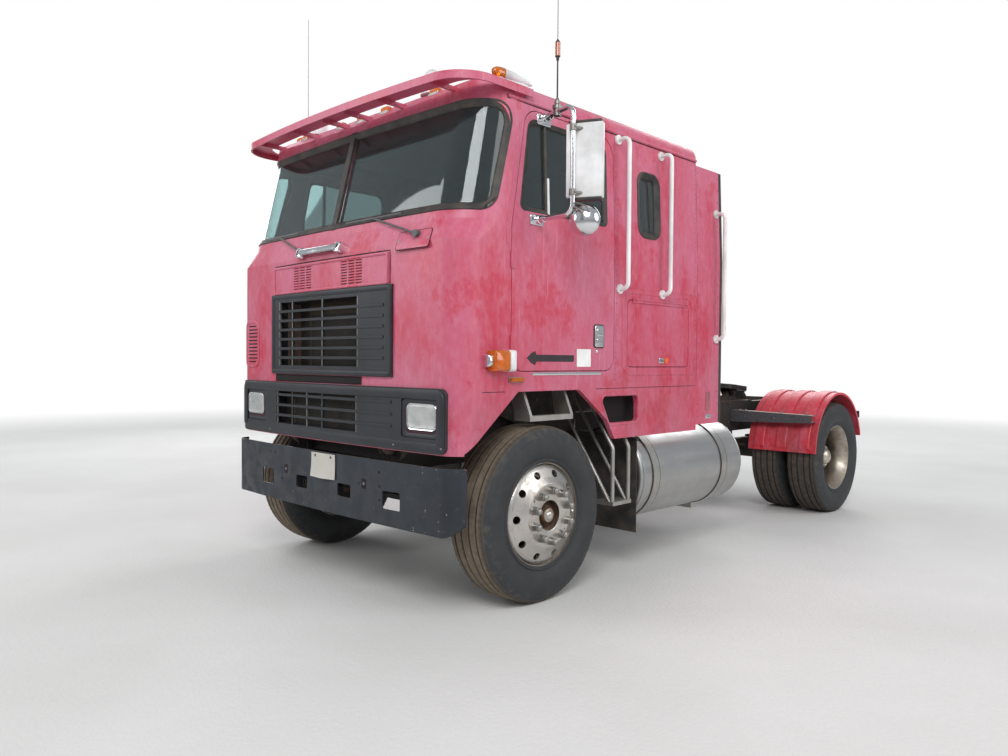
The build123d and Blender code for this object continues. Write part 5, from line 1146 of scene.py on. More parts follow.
POST_GREY = moulded_plastic("post_grey", srgb(84, 84, 84), 0.5, 0.2)
DULL_STEEL = bright_metal("dull_steel", srgb(128, 126, 122), 0.38, (1, 1, 1), 0.6)
# Dark red painted shade inside the louvre slots
LOUVRE_SLOT_SHADE = moulded_plastic("slot_red", srgb(74, 14, 24), 0.8, 0.0)
# Black painted shade inside holes, slots, gaps and pockets
SLOT_SHADE_BLACK = moulded_plastic("slot_black", srgb(20, 14, 15), 0.9, 0.0)
PLATE_WHITE = scuffed_paint("plate_white", srgb(206, 204, 198), srgb(186, 182, 172), srgb(150, 140, 126),
                            0.5)
BUMPER_HOLES = ((0.372, 0.664, 0.006), (0.56, 0.668, 0.0075), (0.56, 0.592, 0.0075), (0.556, 0.746, 0.009),
                (-0.335, 0.668, 0.007), (-0.47, 0.668, 0.008), (-0.47, 0.602, 0.008), (-0.56, 0.76, 0.008),
                (-0.625, 0.76, 0.008))
make_front_trim()
make_bumper_trim()


# Lamps and mirrors, built from stacked outlines and turned shapes
def shells(piece, turn, steps, material, cap_first=False, cap_last=True):
    """Skin through round rectangles: steps are (width, height, radius, level)."""
    part = bmesh.new()
    rings = []
    for width, height, radius, level in steps:
        rings.append([part.verts.new((u, v, level)) for u, v in round_rect(width, height, radius)])
    bridge(part, rings)
    if cap_last:
        part.faces.new(rings[-1])
    if cap_first:
        part.faces.new(rings[0][::-1])
    piece.absorb(part, material, turn)


def on_side(side, x, z):
    """Matrix on a side wall: its X runs along the truck, its Y up and its Z outwards."""
    return Matrix(((0, 0, side, side * x), (side, 0, 0, 0), (0, 1, 0, z), (0, 0, 0, 1)))


def make_headlamps():
    piece = Piece("headlamp_units")
    lamps = surface_of("headlamps")
    for side in (1, -1):
        middle, normal = land(lamps, *from_front(side * 0.876, 1.066))
        turn = frame_at(middle, normal)
        bezel = turn @ Matrix.Translation((-side * 0.01, -0.01, 0))
        shells(piece, bezel, ((0.286, 0.204, 0.02, -0.022), (0.286, 0.204, 0.02, -0.008),
                              (0.281, 0.199, 0.022, -0.004), (0.27, 0.188, 0.03, -0.004),
                              (0.258, 0.172, 0.034, -0.0055), (0.246, 0.158, 0.034, -0.0082)),
               GRILLE_PLASTIC, cap_last=False)
        # Dark ring inside the bezel: painted shade that stands in for a deeper recess
        shells(piece, bezel, ((0.262, 0.176, 0.034, -0.008), (0.2, 0.12, 0.03, -0.008)), BLACK_TRIM_AND_SHADE)
        shells(piece, turn, ((0.23, 0.142, 0.034, -0.009), (0.23, 0.142, 0.034, -0.004),
                             (0.226, 0.138, 0.032, -0.0015), (0.218, 0.13, 0.03, -0.003)), CHROME,
               cap_last=False)
        shells(piece, turn, ((0.218, 0.13, 0.03, -0.0045), (0.2, 0.112, 0.028, -0.0068),
                             (0.14, 0.09, 0.03, -0.0076), (0.06, 0.06, 0.028, -0.0078)), REFLECTOR)
        piece.lathe([(-0.0076, 0.02), (-0.005, 0.018), (-0.004, 0.01), (-0.0038, 0)], CHROME, middle,
                    normal, 32)
        shells(piece, turn, ((0.219, 0.131, 0.03, -0.0042), (0.212, 0.124, 0.028, -0.0015),
                             (0.18, 0.096, 0.026, -0.0004), (0.11, 0.05, 0.02, 0.0)), HEADLAMP_GLASS)
    piece.done("cab", ("headlamps",), crease=35)


def make_side_lamps():
    piece = Piece("side_lamp_units")
    for side in (1, -1):
        wall = HALF_WIDTH - 0.001
        turn = on_side(side, wall, 1.364)
        for y0, y1, z_half, out, material in ((-2.421, -2.371, 0.057, 0.061, SILVER_PAINT),
                                              (-2.531, -2.419, 0.055, 0.0625, AMBER),
                                              (-2.566, -2.529, 0.033, 0.046, CHROME)):
            middle = turn @ Matrix.Translation((side * (y0 + y1) / 2, 0, 0))
            width, height = y1 - y0, 2 * z_half
            soft = min(0.014, 0.45 * width)
            shells(piece, middle, ((width, height, 0.006, 0), (width, height, 0.006, out - soft),
                                   (width - 0.3 * soft, height - 0.6 * soft, 0.006, out - 0.4 * soft),
                                   (width - 0.9 * soft, height - 1.8 * soft, 0.005, out)), material)
        low = turn @ Matrix.Translation((side * -2.32, -0.102, 0))
        shells(piece, low, ((0.111, 0.03, 0.003, 0), (0.111, 0.03, 0.003, 0.005),
                            (0.107, 0.026, 0.003, 0.006)), DULL_STEEL)
        shells(piece, low, ((0.098, 0.025, 0.004, 0.005), (0.096, 0.023, 0.004, 0.018),
                            (0.086, 0.015, 0.004, 0.0235)), AMBER)
    piece.done("cab", ("side_lamps",), crease=35)


def make_roof_lamps():
    piece = Piece("roof_lamp_units")
    for x, y0, z0, z1 in ((0, -2.54, 2.821, 2.868), (0.234, -2.532, 2.83, 2.876),
                          (0.67, -2.518, 2.845, 2.887)):
        for side in (1, -1)[:1 if x == 0 else 2]:
            turn = Matrix.Translation((side * x, y0 + 0.026, z0))
            high = z1 - z0
            shells(piece, turn, ((0.09, 0.052, 0.01, 0), (0.09, 0.052, 0.01, high * 0.3),
                                 (0.084, 0.046, 0.01, high * 0.36)), DULL_STEEL)
            shells(piece, turn, ((0.082, 0.045, 0.012, high * 0.34), (0.08, 0.043, 0.012, high * 0.72),
                                 (0.068, 0.034, 0.012, high * 0.92), (0.044, 0.018, 0.008, high * 0.995)),
                   AMBER)
    for side in (1, -1):
        piece.lathe([(0, 0), (0.0, 0.07), (0.01, 0.07), (0.014, 0.066), (0.02, 0.0655), (0.062, 0.065),
                     (0.085, 0.061), (0.106, 0.053), (0.124, 0.042), (0.138, 0.0285), (0.147, 0.014),
                     (0.15, 0)], SHELL_WHITE, (side * 0.594, -2.452, 2.872), (0, 0, 1), 48)
        axis_z = 2.936
        piece.lathe([(0.0, 0.002), (0.003, 0.01), (0.012, 0.02), (0.028, 0.0285), (0.05, 0.0325),
                     (0.078, 0.0338)], AMBER, (side * 1.0, -2.376, axis_z), (0, 1, 0), 32)
        piece.lathe([(0.078, 0.0325), (0.0785, 0.0343), (0.088, 0.0343), (0.0895, 0.0332), (0.15, 0.0308),
                     (0.22, 0.0245), (0.28, 0.016), (0.315, 0.0085), (0.325, 0)], SILVER_PAINT,
                    (side * 1.0, -2.376, axis_z), (0, 1, 0), 32)
        piece.block((side * 1.0 - 0.02, -2.335, 2.885), (side * 1.0 + 0.02, -2.105, 2.92), SILVER_PAINT,
                    0.006)
    piece.done("cab", ("roof_lamps",), crease=40)


def make_tail_lamps():
    piece = Piece("tail_lamp_units")
    for side in (1, -1):
        turn = Matrix(((-1, 0, 0, side * 0.507), (0, 0, 1, 2.743), (0, 1, 0, 0.925), (0, 0, 0, 1)))
        shells(piece, turn, ((0.15, 0.08, 0.008, 0), (0.15, 0.08, 0.008, 0.03),
                             (0.144, 0.074, 0.008, 0.034)), BLACK_TRIM_AND_SHADE)
        shells(piece, turn, ((0.138, 0.068, 0.01, 0.032), (0.138, 0.068, 0.01, 0.048),
                             (0.128, 0.058, 0.01, 0.0545)), RED_LENS)
        for u in (-0.022, 0.024):
            piece.block((side * 0.507 + u - 0.001, 2.796, 0.893), (side * 0.507 + u + 0.001, 2.7985, 0.957),
                        BLACK_TRIM_AND_SHADE, 0.0004)
    piece.done("chassis", ("tail_lamps",), crease=35)


MIRROR_ARMS = (2.715, 2.14)
MIRROR_Z = 2.428
MIRROR_TURN = math.radians(25)


def make_mirror(label, side):
    """Sheet-metal head, chrome bowl, tube, clamps and the antenna on its stand."""
    piece = Piece(f"mirror_unit_{label}")
    high, low = MIRROR_ARMS
    tube_x, tube_y = side * 1.4, station(-0.095)
    piece.tube([(side * 1.122, station(-0.02), high), (tube_x, tube_y, high), (tube_x, tube_y, low),
                (side * 1.146, station(-0.095), low)], 0.0135, CHROME, sides=18, bend=0.06)
    for z, y0, y1, z0, z1 in ((high, -0.075, 0.04, -0.04, 0.018), (low, -0.15, -0.04, -0.03, 0.026)):
        wall = 1.1195 if z == high else 1.1415
        turn = on_side(side, wall, z)
        plate = turn @ Matrix.Translation((side * station((y0 + y1) / 2), (z0 + z1) / 2, 0))
        shells(piece, plate, ((y1 - y0, z1 - z0, 0.012, -0.004), (y1 - y0, z1 - z0, 0.012, 0.007),
                              (y1 - y0 - 0.004, z1 - z0 - 0.004, 0.01, 0.009)), CHROME)
        for u in (-0.036, 0.036):
            piece.bolt(plate @ Vector((u, 0.008, 0.008)), (side, 0, 0), 0.0065, DULL_STEEL)
        piece.lathe([(0.0, 0.026), (0.03, 0.024), (0.034, 0.02), (0.06, 0.0185), (0.062, 0.0145)], CHROME,
                    (side * wall, station(-0.02 if z == high else -0.095), z), (side, 0, 0), 24)
    head = Matrix.Translation((side * 1.425, station(-0.019),
                               MIRROR_Z)) @ Matrix.Rotation(side * MIRROR_TURN, 4, "Z")
    back = head @ Matrix(((1, 0, 0, 0), (0, 0, -1, 0), (0, 1, 0, 0), (0, 0, 0, 1)))
    shells(piece, back, ((0.19, 0.394, 0.004, -0.024), (0.193, 0.397, 0.006, -0.02),
                         (0.193, 0.397, 0.006, 0.018), (0.189, 0.393, 0.01, 0.0245),
                         (0.15, 0.39, 0.008, 0.028)), SHELL_WHITE, cap_first=True)
    piece.block((-0.09, -0.026, -0.212), (0.09, 0.024, -0.195), BLACK_RUBBER, 0.003, head)
    piece.block((-0.09, -0.026, 0.195), (0.09, 0.024, 0.212), BLACK_RUBBER, 0.003, head)
    piece.block((-0.0905, 0.0235, -0.194), (0.0905, 0.0262, 0.194), MIRROR_GLASS, 0.001, head)
    piece.block((-side * 0.094 - 0.006, -0.03, -0.193), (-side * 0.094 + 0.02, -0.018, 0.193), SHELL_WHITE,
                0.004, head)
    for z in (2.595, 2.255):
        reach = head @ Vector((-side * 0.012, -0.02, z - MIRROR_Z))
        piece.tube([(tube_x, tube_y, z), reach], 0.0085, DULL_STEEL)
        piece.lathe([(-0.018, 0.0145), (-0.017, 0.0195), (0.017, 0.0195), (0.018, 0.0145)], DULL_STEEL,
                    (tube_x, tube_y, z), (0, 0, 1), 20)
        piece.bolt((tube_x + side * 0.018, tube_y, z), (side, 0, 0), 0.0062, DULL_STEEL)
    round_at = Vector((side * 1.44, station(-0.045), 2.112))
    ahead = Matrix.Rotation(side * MIRROR_TURN, 3, "Z") @ Vector((0, -1, 0))
    piece.lathe([(-0.017, 0.0), (-0.0165, 0.079), (-0.012, 0.084), (-0.004, 0.0835), (0.014, 0.0745),
                 (0.028, 0.06), (0.038, 0.042), (0.044, 0.022), (0.046, 0)], CHROME, round_at, ahead, 56)
    piece.tube([(tube_x, tube_y, 2.17), (side * 1.418, tube_y - 0.004, 2.176),
                round_at + ahead * 0.05 + Vector((0, 0, 0.036)), round_at + ahead * 0.043], 0.0062,
               DULL_STEEL, bend=0.02)
    piece.tube([(tube_x, tube_y + 0.004, 2.205), round_at + ahead * 0.046 + Vector((side * 0.03, 0, 0.06)),
                round_at + ahead * 0.028 + Vector((side * 0.04, 0, 0.03))], 0.0042, DULL_STEEL, bend=0.02)
    piece.bolt(round_at + ahead * 0.045, ahead, 0.0075, DULL_STEEL)
    share = (1.253 - 1.128) / (1.4 - 1.128)
    whip_x, whip_y = side * 1.253, station(-0.02 - share * 0.075)
    piece.lathe([(-0.022, 0), (-0.022, 0.021), (0.012, 0.021), (0.016, 0.026), (0.034, 0.026),
                 (0.042, 0.016), (0.06, 0.0135), (0.072, 0.009), (0.076, 0.0045)], DULL_STEEL,
                (whip_x, whip_y, high), (0, 0, 1), 20)
    piece.lathe([(0.074, 0.0045), (0.27, 0.0042), (0.282, 0.0085), (0.292, 0.0085), (0.296, 0.0135),
                 (0.302, 0.0148), (0.372, 0.0148), (0.378, 0.0125), (0.386, 0.006), (0.392, 0.003)],
                BLACK_RUBBER, (whip_x, whip_y, high), (0, 0, 1), 20)
    piece.lathe([(0.3, 0.0152), (0.371, 0.0152)], WHIP_COPPER, (whip_x, whip_y, high), (0, 0, 1), 20)
    piece.lathe([(0.39, 0.0028), (1.228, 0.0016), (1.23, 0.003), (1.2345, 0)], DULL_STEEL,
                (whip_x, whip_y, high), (0, 0, 1), 8)
    piece.done(f"door_{label}", (f"mirror_{label}",), crease=35)


AMBER = MATERIALS["lamp_amber"]
HEADLAMP_GLASS = lamp_finish("headlamp_glass", srgb(238, 240, 238), ribs=(3, 1, 1))
RED_LENS = MATERIALS["lamp_red"]
SHELL_WHITE = MATERIALS["mirror_shell"]
SILVER_PAINT = moulded_plastic("silver_paint", srgb(198, 200, 200), 0.32, 0.2, 80)
REFLECTOR = bright_metal("reflector", srgb(222, 224, 224), 0.16, (1, 1, 1), 0.15, 30)
MIRROR_GLASS = bright_metal("mirror_glass", srgb(210, 216, 218), 0.03, (1, 1, 1), 0.05, 10)
WHIP_COPPER = bright_metal("whip_copper", srgb(150, 92, 72), 0.3, (1, 1, 1), 0.4, 60)
make_headlamps()
make_side_lamps()
make_roof_lamps()
make_tail_lamps()
for label, side in SIDES:
    make_mirror(label, side)


# Skin details: seams with painted shade down in the door gaps, rivets, pressed rims, drip rail with a painted
# shadow under it, grille rims, and the screens behind the grilles, woven wire over painted shade
DOOR = ((-0.29, 1.305, 0.09), (-0.29, 2.089, 0.06), (-0.158, 2.745, 0.11), (0.63, 2.745, 0.15),
        (0.63, 1.305, 0.09))
LOCKER = ((0.764, 1.328, 0.04), (0.764, 1.757, 0.04), (1.489, 1.757, 0.04), (1.489, 1.328, 0.04))
STEP_POCKET = ((0.5, 1.15, 0.03), (0.887, 1.15, 0.03), (0.887, 0.985, 0.03), (0.592, 0.985, 0.025))


GAP_SHADE_DEPTH = 0.007
SKIRT_TOP = 1.1985


def make_seam_shadow(piece, corners, wall, side):
    """Dark strip down in the gap round a door: painted shade where the gap is deep."""
    points = []
    for u, v in ring_points(corners, 0.0025, arc_steps=6, straight_steps=8):
        for reach in (0.006, 0.012, 0.02):
            out = ring_step(corners, u, v, reach)
            place = wall.ray_cast(Vector((side * 2.5, station(out[0]), out[1])), Vector((-side, 0, 0)))[0]
            if place is not None:
                break
        x = abs(place.x) if place is not None else HALF_WIDTH
        points.append(Vector((side * (x - GAP_SHADE_DEPTH), station(u), v)))
    ups = [Vector((side, 0, 0))] * len(points)
    piece.strip(points, ups, [(-0.0046, -0.004), (-0.0046, 0), (0.0046, 0), (0.0046, -0.004)], BLACK_TRIM_AND_SHADE,
                True)


def ring_step(corners, u, v, reach):
    """A place moved away from the middle of an outline."""
    middle = sum((Vector(c[:2]) for c in corners), Vector((0, 0))) / len(corners)
    away = (Vector((u, v)) - middle).normalized() * reach
    return u + away.x, v + away.y


def make_side_skin(label, side):
    piece = Piece(f"side_skin_{label}")
    ray = side_ray(side)
    wall = surface_of("cab_sides", "cab_rear")
    skirt = surface_of("side_skirts")
    shell = surface_of("cab_sides", "cab_rear", "cab_front", "cab_roof")
    make_seam_shadow(piece, DOOR, wall, side)
    make_seam_shadow(piece, LOCKER, wall, side)
    laid_strip(piece, wall, ray, dense(ring_points(LOCKER, 0.044, straight_steps=6), 0.2), 0.013, 0.0042,
               CAB_PAINT, True)
    laid_strip(piece, skirt, ray, ring_points(STEP_POCKET, 0.01, straight_steps=4), 0.013, 0.005, CAB_PAINT,
               True)
    rows = ((0.65, 1.25, 0.65, 2.74), (0.7, 1.275, 1.56, 1.275), (0.7, 1.828, 1.56, 1.828),
            (1.578, 1.25, 1.578, 2.745))
    for y0, z0, y1, z1 in rows:
        rivet_row(piece, wall, ray, (y0, z0), (y1, z1), 0.034, 0.0033, RIVET_RED)
    laid_strip(piece, wall, ray, [(0.6415, 1.245 + 0.1 * k) for k in range(15)] + [(0.6415, 2.75)], 0.0035,
               0.001, BLACK_TRIM_AND_SHADE)
    rail = [(-0.3, 2.779), (0.0, 2.779), (0.5, 2.779), (1.0, 2.779), (1.596, 2.779)]
    laid_strip(piece, shell, ray, rail, 0.02, 0.013, CAB_PAINT)
    # Dark line just under the drip rail: painted shadow
    laid_strip(piece, shell, ray, [(y, z - 0.012) for y, z in rail], 0.006, 0.004, BLACK_TRIM_AND_SHADE)
    ridge = [(-0.322, 1.985), (-0.322, 2.095), (-0.29, 2.23), (-0.25, 2.43), (-0.205, 2.65)]
    laid_strip(piece, shell, ray, ridge, 0.013, 0.006, CAB_PAINT)
    laid_strip(piece, wall, ray, [(-0.119 + 0.0614 * k, 1.2925) for k in range(11)], 0.017, 0.006, CHROME)
    latch, normal = land(surface_of(f"locker_door_{label}"), *ray(1.15, 1.372))
    fairing = surface_of("side_fairings")
    rivet_row(piece, fairing, ray, (1.622, 0.98), (1.622, 2.7), 0.086, 0.005, RIVET_RED)
    rivet_row(piece, fairing, ray, (1.888, 0.98), (1.888, 2.7), 0.086, 0.005, RIVET_RED)
    place, normal = land(fairing, *ray(1.757, 1.085))
    piece.prism(round_rect(0.056, 0.132, 0.004), 0.004, OLD_REFLECTOR, frame_at(place, normal), 0.001)
    place, normal = land(fairing, *ray(1.767, 0.975))
    piece.prism(round_rect(0.078, 0.03, 0.004), 0.003, CHROME, frame_at(place, normal), 0.001)
    for y0, y1 in ((-0.5, -0.33), (0.45, 1.59)):
        seam = [(y0 + (y1 - y0) * k / 8, SKIRT_TOP) for k in range(9)]
        laid_strip(piece, shell, ray, seam, 0.006, 0.0012, BLACK_TRIM_AND_SHADE)
    laid_strip(piece, shell, ray, [(1.5985, 1.245 + 0.1 * k) for k in range(15)] + [(1.5985, 2.75)], 0.0045,
               0.0012, BLACK_TRIM_AND_SHADE)
    piece.done("cab", crease=45)
    tag = Piece(f"locker_latch_{label}")
    tag.prism(round_rect(0.062, 0.034, 0.008), 0.007, CHROME, frame_at(latch, (side, 0, 0)), 0.002)
    tag.prism(round_rect(0.04, 0.014, 0.004), 0.0095, DULL_STEEL, frame_at(latch, (side, 0, 0)), 0.002)
    tag.lathe([(0.001, 0.021), (0.003, 0.0205), (0.0034, 0)], ORANGE_TAG, latch + Vector((0, 0.066, 0.002)),
              (side, 0, 0), 28)
    tag.done(f"locker_{label}", crease=45)


# Below this height the rim lies deeper, so that it passes the bumper when the cab tilts
BUMPER_CLEAR = 0.93


def make_grille_rims():
    piece = Piece("grille_rims")
    grille = surface_of("front_grilles")
    pillow = [(-0.028, -0.001), (-0.026, 0.004), (-0.019, 0.0068), (0, 0.0076), (0.019, 0.0068),
              (0.026, 0.004), (0.028, -0.001)]
    for path, share in ((dense(round_rect(2.048, 0.274, 0.03, 6, (0, 1.049)), 0.08), 1.0),
                        (dense(round_rect(1.24, 0.474, 0.016, 6, (0, 1.524)), 0.08), 0.55)):
        points, ups = [], []
        for u, v in path:
            place, normal = land(grille, *from_front(u, v))
            points.append(place - normal * (0.0065 if v < BUMPER_CLEAR else 0))
            ups.append(normal)
        piece.strip(points, ups, [(a * share, b * (0.5 + 0.5 * share)) for a, b in pillow], GRILLE_PLASTIC,
                    True)
    # Flat screens behind the grilles: woven wire over painted shade
    for x0, x1, z0, z1, y in ((-0.6, 0.4, 0.935, 1.19, -2.698), (-0.6, 0.4, 1.3, 1.74, -2.622)):
        sheet = bmesh.new()
        rings = [sheet.verts.new(p) for p in ((x0, y, z0), (x1, y, z0), (x1, y, z1), (x0, y, z1))]
        sheet.faces.new(rings)
        piece.absorb(sheet, SCREEN_MESH_OVER_SHADE)
    # Black sides round the openings behind the grilles: painted shade of the space behind
    for x0, x1, z0, z1, front, back in ((-0.5325, 0.3335, 1.3265, 1.7235, -2.77, -2.622),
                                        (-0.5715, 0.3295, 0.9535, 1.1675, -2.776, -2.698)):
        sheet = bmesh.new()
        rings = [[sheet.verts.new((x, y, z)) for x,
                  z in ((x0, z0), (x1, z0), (x1, z1), (x0, z1))] for y in (front, back)]
        for k in range(4):
            sheet.faces.new((rings[0][k - 1], rings[0][k], rings[1][k], rings[1][k - 1]))
        piece.absorb(sheet, SLOT_SHADE_BLACK)
    piece.done("cab", crease=50)


def make_inner_band():
    """Dark shade hanging inside the top of both windscreen halves."""
    piece = Piece("windscreen_shade")
    both = surface_of("cab_glass", "cab_front")
    lower = ((0.03, 2.56), (0.3, 2.558), (0.6, 2.57), (0.8, 2.6), (0.9, 2.62), (1.04, 2.637), (1.1, 2.7),
             (1.15, 2.716))
    for side in (1, -1):
        columns = []
        for k in range(41):
            x = 0.03 + 1.12 * k / 40
            for (x0, z0), (x1, z1) in zip(lower, lower[1:]):
                if x <= x1 + 1e-6:
                    edge = z0 + (z1 - z0) * (x - x0) / (x1 - x0)
                    break
            column = []
            for j in range(7):
                z = edge + (2.722 - edge) * j / 6
                place, normal = land(both, *round_corner(side * x, z))
                column.append(place - normal * 0.014)
            columns.append(column)
        part = bmesh.new()
        grid = [[part.verts.new(p) for p in column] for column in columns]
        for a, b in zip(grid, grid[1:]):
            for j in range(6):
                part.faces.new((a[j], b[j], b[j + 1], a[j + 1]))
        bmesh.ops.recalc_face_normals(part, faces=part.faces)
        bmesh.ops.solidify(part, geom=part.faces[:], thickness=0.004)
        piece.absorb(part, SHADE_BLACK)
    piece.done("cab", crease=60)


def screen_mesh():
    """Fine woven wire over a dark ground, the painted shade of the space behind the grilles, with dusty patches.
    """
    f = Finish("screen_mesh", srgb(34, 31, 28), roughness=0.8)
    waves = []
    for direction in ("X", "Z"):
        wave = f.new("ShaderNodeTexWave", wave_type="BANDS", bands_direction=direction)
        f.link(f.place, wave.inputs["Vector"])
        wave.inputs["Scale"].default_value = 55
        waves.append(wave.outputs["Fac"])
    weave = f.math("MAXIMUM", *waves)
    tone = f.mix(f.spread(weave, 0.55, 0.95), srgb(14, 13, 12), srgb(46, 42, 38))
    f.feed("Base Color", f.mix(f.noise(6, detail=6, low=0.4, high=0.8), tone, srgb(54, 49, 42)))
    f.bump(weave, 0.001, 0.6)
    return f.material


RIVET_RED = moulded_plastic("rivet_red", srgb(134, 40, 56), 0.5, 0.1)
ORANGE_TAG = moulded_plastic("orange_tag", srgb(226, 88, 26), 0.5, 0.1)
OLD_REFLECTOR = moulded_plastic("old_reflector", srgb(150, 84, 92), 0.35, 0.1)
SHADE_BLACK = moulded_plastic("shade_black", srgb(14, 15, 15), 0.9, 0.0)
SCREEN_MESH_OVER_SHADE = screen_mesh()
for label, side in SIDES:
    make_side_skin(label, side)
make_grille_rims()
make_inner_band()


# Wheel wells, step pockets, tank bands and the chassis' small parts
WELL_OUTLINE = [(-0.56, 0.8), (-0.54, 1.06), (-0.52, 1.192), (1.42, 1.192), (1.42, 1.06), (0.99, 1.01),
                (0.96, 0.76), (0.64, 0.68), (0.56, 0.76), (0.38, 0.96), (0.1, 1.06), (-0.15, 1.04),
                (-0.38, 0.92)]
WELL_BOLTS = ((-0.42, 1.1), (-0.1, 1.11), (0.24, 1.11), (0.58, 1.11), (0.82, 1.08))
WELL_FACES = (0.548, 0.54)
POCKET_STEPS = ((0.004, 1.108), (0.004, 1.075), (-0.004, 1.056))


def make_wells():
    """Black rubber sheets between the front wheels and the frame, and the boxes behind the step pockets, black
    with painted shade.
    """
    wells = Piece("wheel_wells")
    boxes = Piece("step_pocket_boxes")
    for side in (1, -1):
        sheet = bmesh.new()
        faces = []
        for x in WELL_FACES:
            faces.append([sheet.verts.new((side * x, station(u), v)) for u, v in WELL_OUTLINE])
        sheet.faces.new(faces[0])
        sheet.faces.new(faces[1][::-1])
        bridge(sheet, faces)
        wells.absorb(sheet, BLACK_RUBBER)
        for u, v in WELL_BOLTS:
            wells.bolt((side * WELL_FACES[0], station(u), v), (side, 0, 0), 0.009, DULL_STEEL)
        # The pocket boxes are black: painted shade inside the pockets
        part = bmesh.new()
        rings = []
        for offset, x in POCKET_STEPS:
            outline = ring_points(STEP_POCKET, offset)
            rings.append([part.verts.new((side * x, station(u), v)) for u, v in outline])
        bridge(part, rings)
        part.faces.new(rings[-1])
        boxes.absorb(part, SLOT_SHADE_BLACK)
    wells.done("cab", crease=30)
    boxes.done("cab", crease=30)


TANK_X, TANK_Z, TANK_R = 0.857, 0.61, 0.311
STRAPS = (-0.997, -0.112)
STRAP_HALF = 0.0385
TANK_SEAMS = (-1.128, 0.143)


def make_tank_bands():
    """Rubber beside each strap and the seams at the tanks' ends."""
    piece = Piece("tank_trim")
    for side in (1, -1):
        x, z, r = side * TANK_X, TANK_Z, TANK_R
        for y in STRAPS:
            for edge in (-STRAP_HALF, STRAP_HALF):
                piece.lathe([(edge - 0.0055, r - 0.001), (edge - 0.005, r + 0.0045),
                             (edge + 0.005, r + 0.0045), (edge + 0.0055, r - 0.001)], BLACK_RUBBER,
                            (x, y, z), (0, 1, 0), 96)
        for y in TANK_SEAMS:
            piece.lathe([(-0.006, r - 0.001), (-0.004, r + 0.0018), (0.004, r + 0.0018),
                         (0.006, r - 0.001)], MATERIALS["tank_aluminium"], (x, y, z), (0, 1, 0), 96)
    piece.done("chassis", crease=40)


ARM_ROWS = (1.393, 2.403)
RAIL_BOLT_ROWS = (-1.25, -0.62, -0.3, 0.02, 0.34, 0.66, 0.98, 1.3, 2.3, 2.5, 2.62)
RAIL_BOLT_HEIGHTS = (0.8, 0.98)
COIL_TURNS = 9
COIL_STEPS = 12
COIL_R = 0.036
COIL_LENGTH = 0.34


def make_rear_trim():
    """Bolts of the fender arms and the frame rails, and the coiled lines behind the cab."""
    piece = Piece("chassis_trim")
    for side in (1, -1):
        for y in ARM_ROWS:
            for x in (0.5, 0.56, 0.9, 1.13):
                piece.bolt((side * x, y, 0.922), (0, 0, 1), 0.01, DULL_STEEL)
            for x in (0.58, 0.86, 1.14):
                piece.bolt((side * x, y - 0.05, 0.868), (0, -1, 0), 0.009, DULL_STEEL)
        for y in RAIL_BOLT_ROWS:
            for z in RAIL_BOLT_HEIGHTS:
                piece.bolt((side * 0.432, y, z), (side, 0, 0), 0.0105, FRAME_DARK)
    piece.done("chassis", crease=40)
    lines = Piece("air_lines")
    for k, (color, x) in enumerate(((HOSE_RED, -0.1), (HOSE_BLUE, 0.02), (BLACK_RUBBER, 0.14))):
        start = Vector((x, -0.46, 1.72 - 0.03 * k))
        path = [start]
        path.append(start + Vector((0, 0.045, 0)))
        for n in range(COIL_TURNS * COIL_STEPS + 1):
            angle = 2 * math.pi * n / COIL_STEPS
            drop = COIL_LENGTH * n / (COIL_TURNS * COIL_STEPS)
            path.append(start + Vector((COIL_R * (math.cos(angle) - 1), 0.08 + COIL_R * math.sin(angle),
                                        -0.05 - drop)))
        path.append(path[-1] + Vector((0.01, -0.02, -0.06)))
        path.append(Vector((x + 0.05, -0.44, 1.235)))
        lines.tube(path, 0.0062, color, sides=8)
        lines.lathe([(0, 0.016), (0.018, 0.016), (0.02, 0.011), (0.032, 0.01)], DULL_STEEL,
                    start + Vector((0, -0.012, 0)), (0, 1, 0), 16)
        lines.lathe([(0, 0.012), (0.016, 0.012), (0.018, 0.008)], DULL_STEEL,
                    path[-1] + Vector((0, -0.032, 0)), (0, 1, 0), 16)
    lines.done("cab", crease=40)


FRAME_DARK = MATERIALS["frame_paint"]
HOSE_RED = rubber_finish("hose_red", srgb(150, 34, 38), 0.25, 0.4)
HOSE_BLUE = rubber_finish("hose_blue", srgb(44, 70, 132), 0.25, 0.4)
make_wells()
make_tank_bands()
make_rear_trim()


# Rear fenders: three pressed bands that end above the lower edge, and the rolled lips
FENDER_Z = 0.572
BAND_ANGLES = (-86, 74)
LIP_ANGLES = (-89.4, 78.4)
BAND_SECTION = [(-0.05, 0), (-0.044, 0.0052), (-0.036, 0.006), (0.036, 0.006), (0.044, 0.0052), (0.05, 0)]
LIP_SECTION = [(-0.006, -0.001), (-0.005, 0.004), (0, 0.0055), (0.005, 0.004), (0.006, -0.001)]


def make_fender_trim():
    piece = Piece("fender_trim")
    skin = surface_of("rear_fenders")
    paint = MATERIALS["fender_paint"]

    def on_arc(x, angle, lift):
        """A place on the fender's skin at an angle from straight up, towards the front when negative."""
        away = Vector((0, math.sin(angle), math.cos(angle)))
        start = Vector((x, REAR_AXLE_Y, FENDER_Z)) + away * 1.3
        return land(skin, start, -away, lift)

    for side in (1, -1):
        for x in (0.705, 0.912, 1.12):
            low, high = BAND_ANGLES
            places = [on_arc(side * x, math.radians(low + (high - low) * k / 56),
                             -0.001) for k in range(57)]
            piece.strip(*zip(*places), BAND_SECTION, paint)
        for angle in LIP_ANGLES:
            places = [on_arc(side * (0.606 + 0.613 * k / 12), math.radians(angle), 0.0) for k in range(13)]
            piece.strip(*zip(*places), LIP_SECTION, paint)
    piece.done("chassis", crease=50)


make_fender_trim()


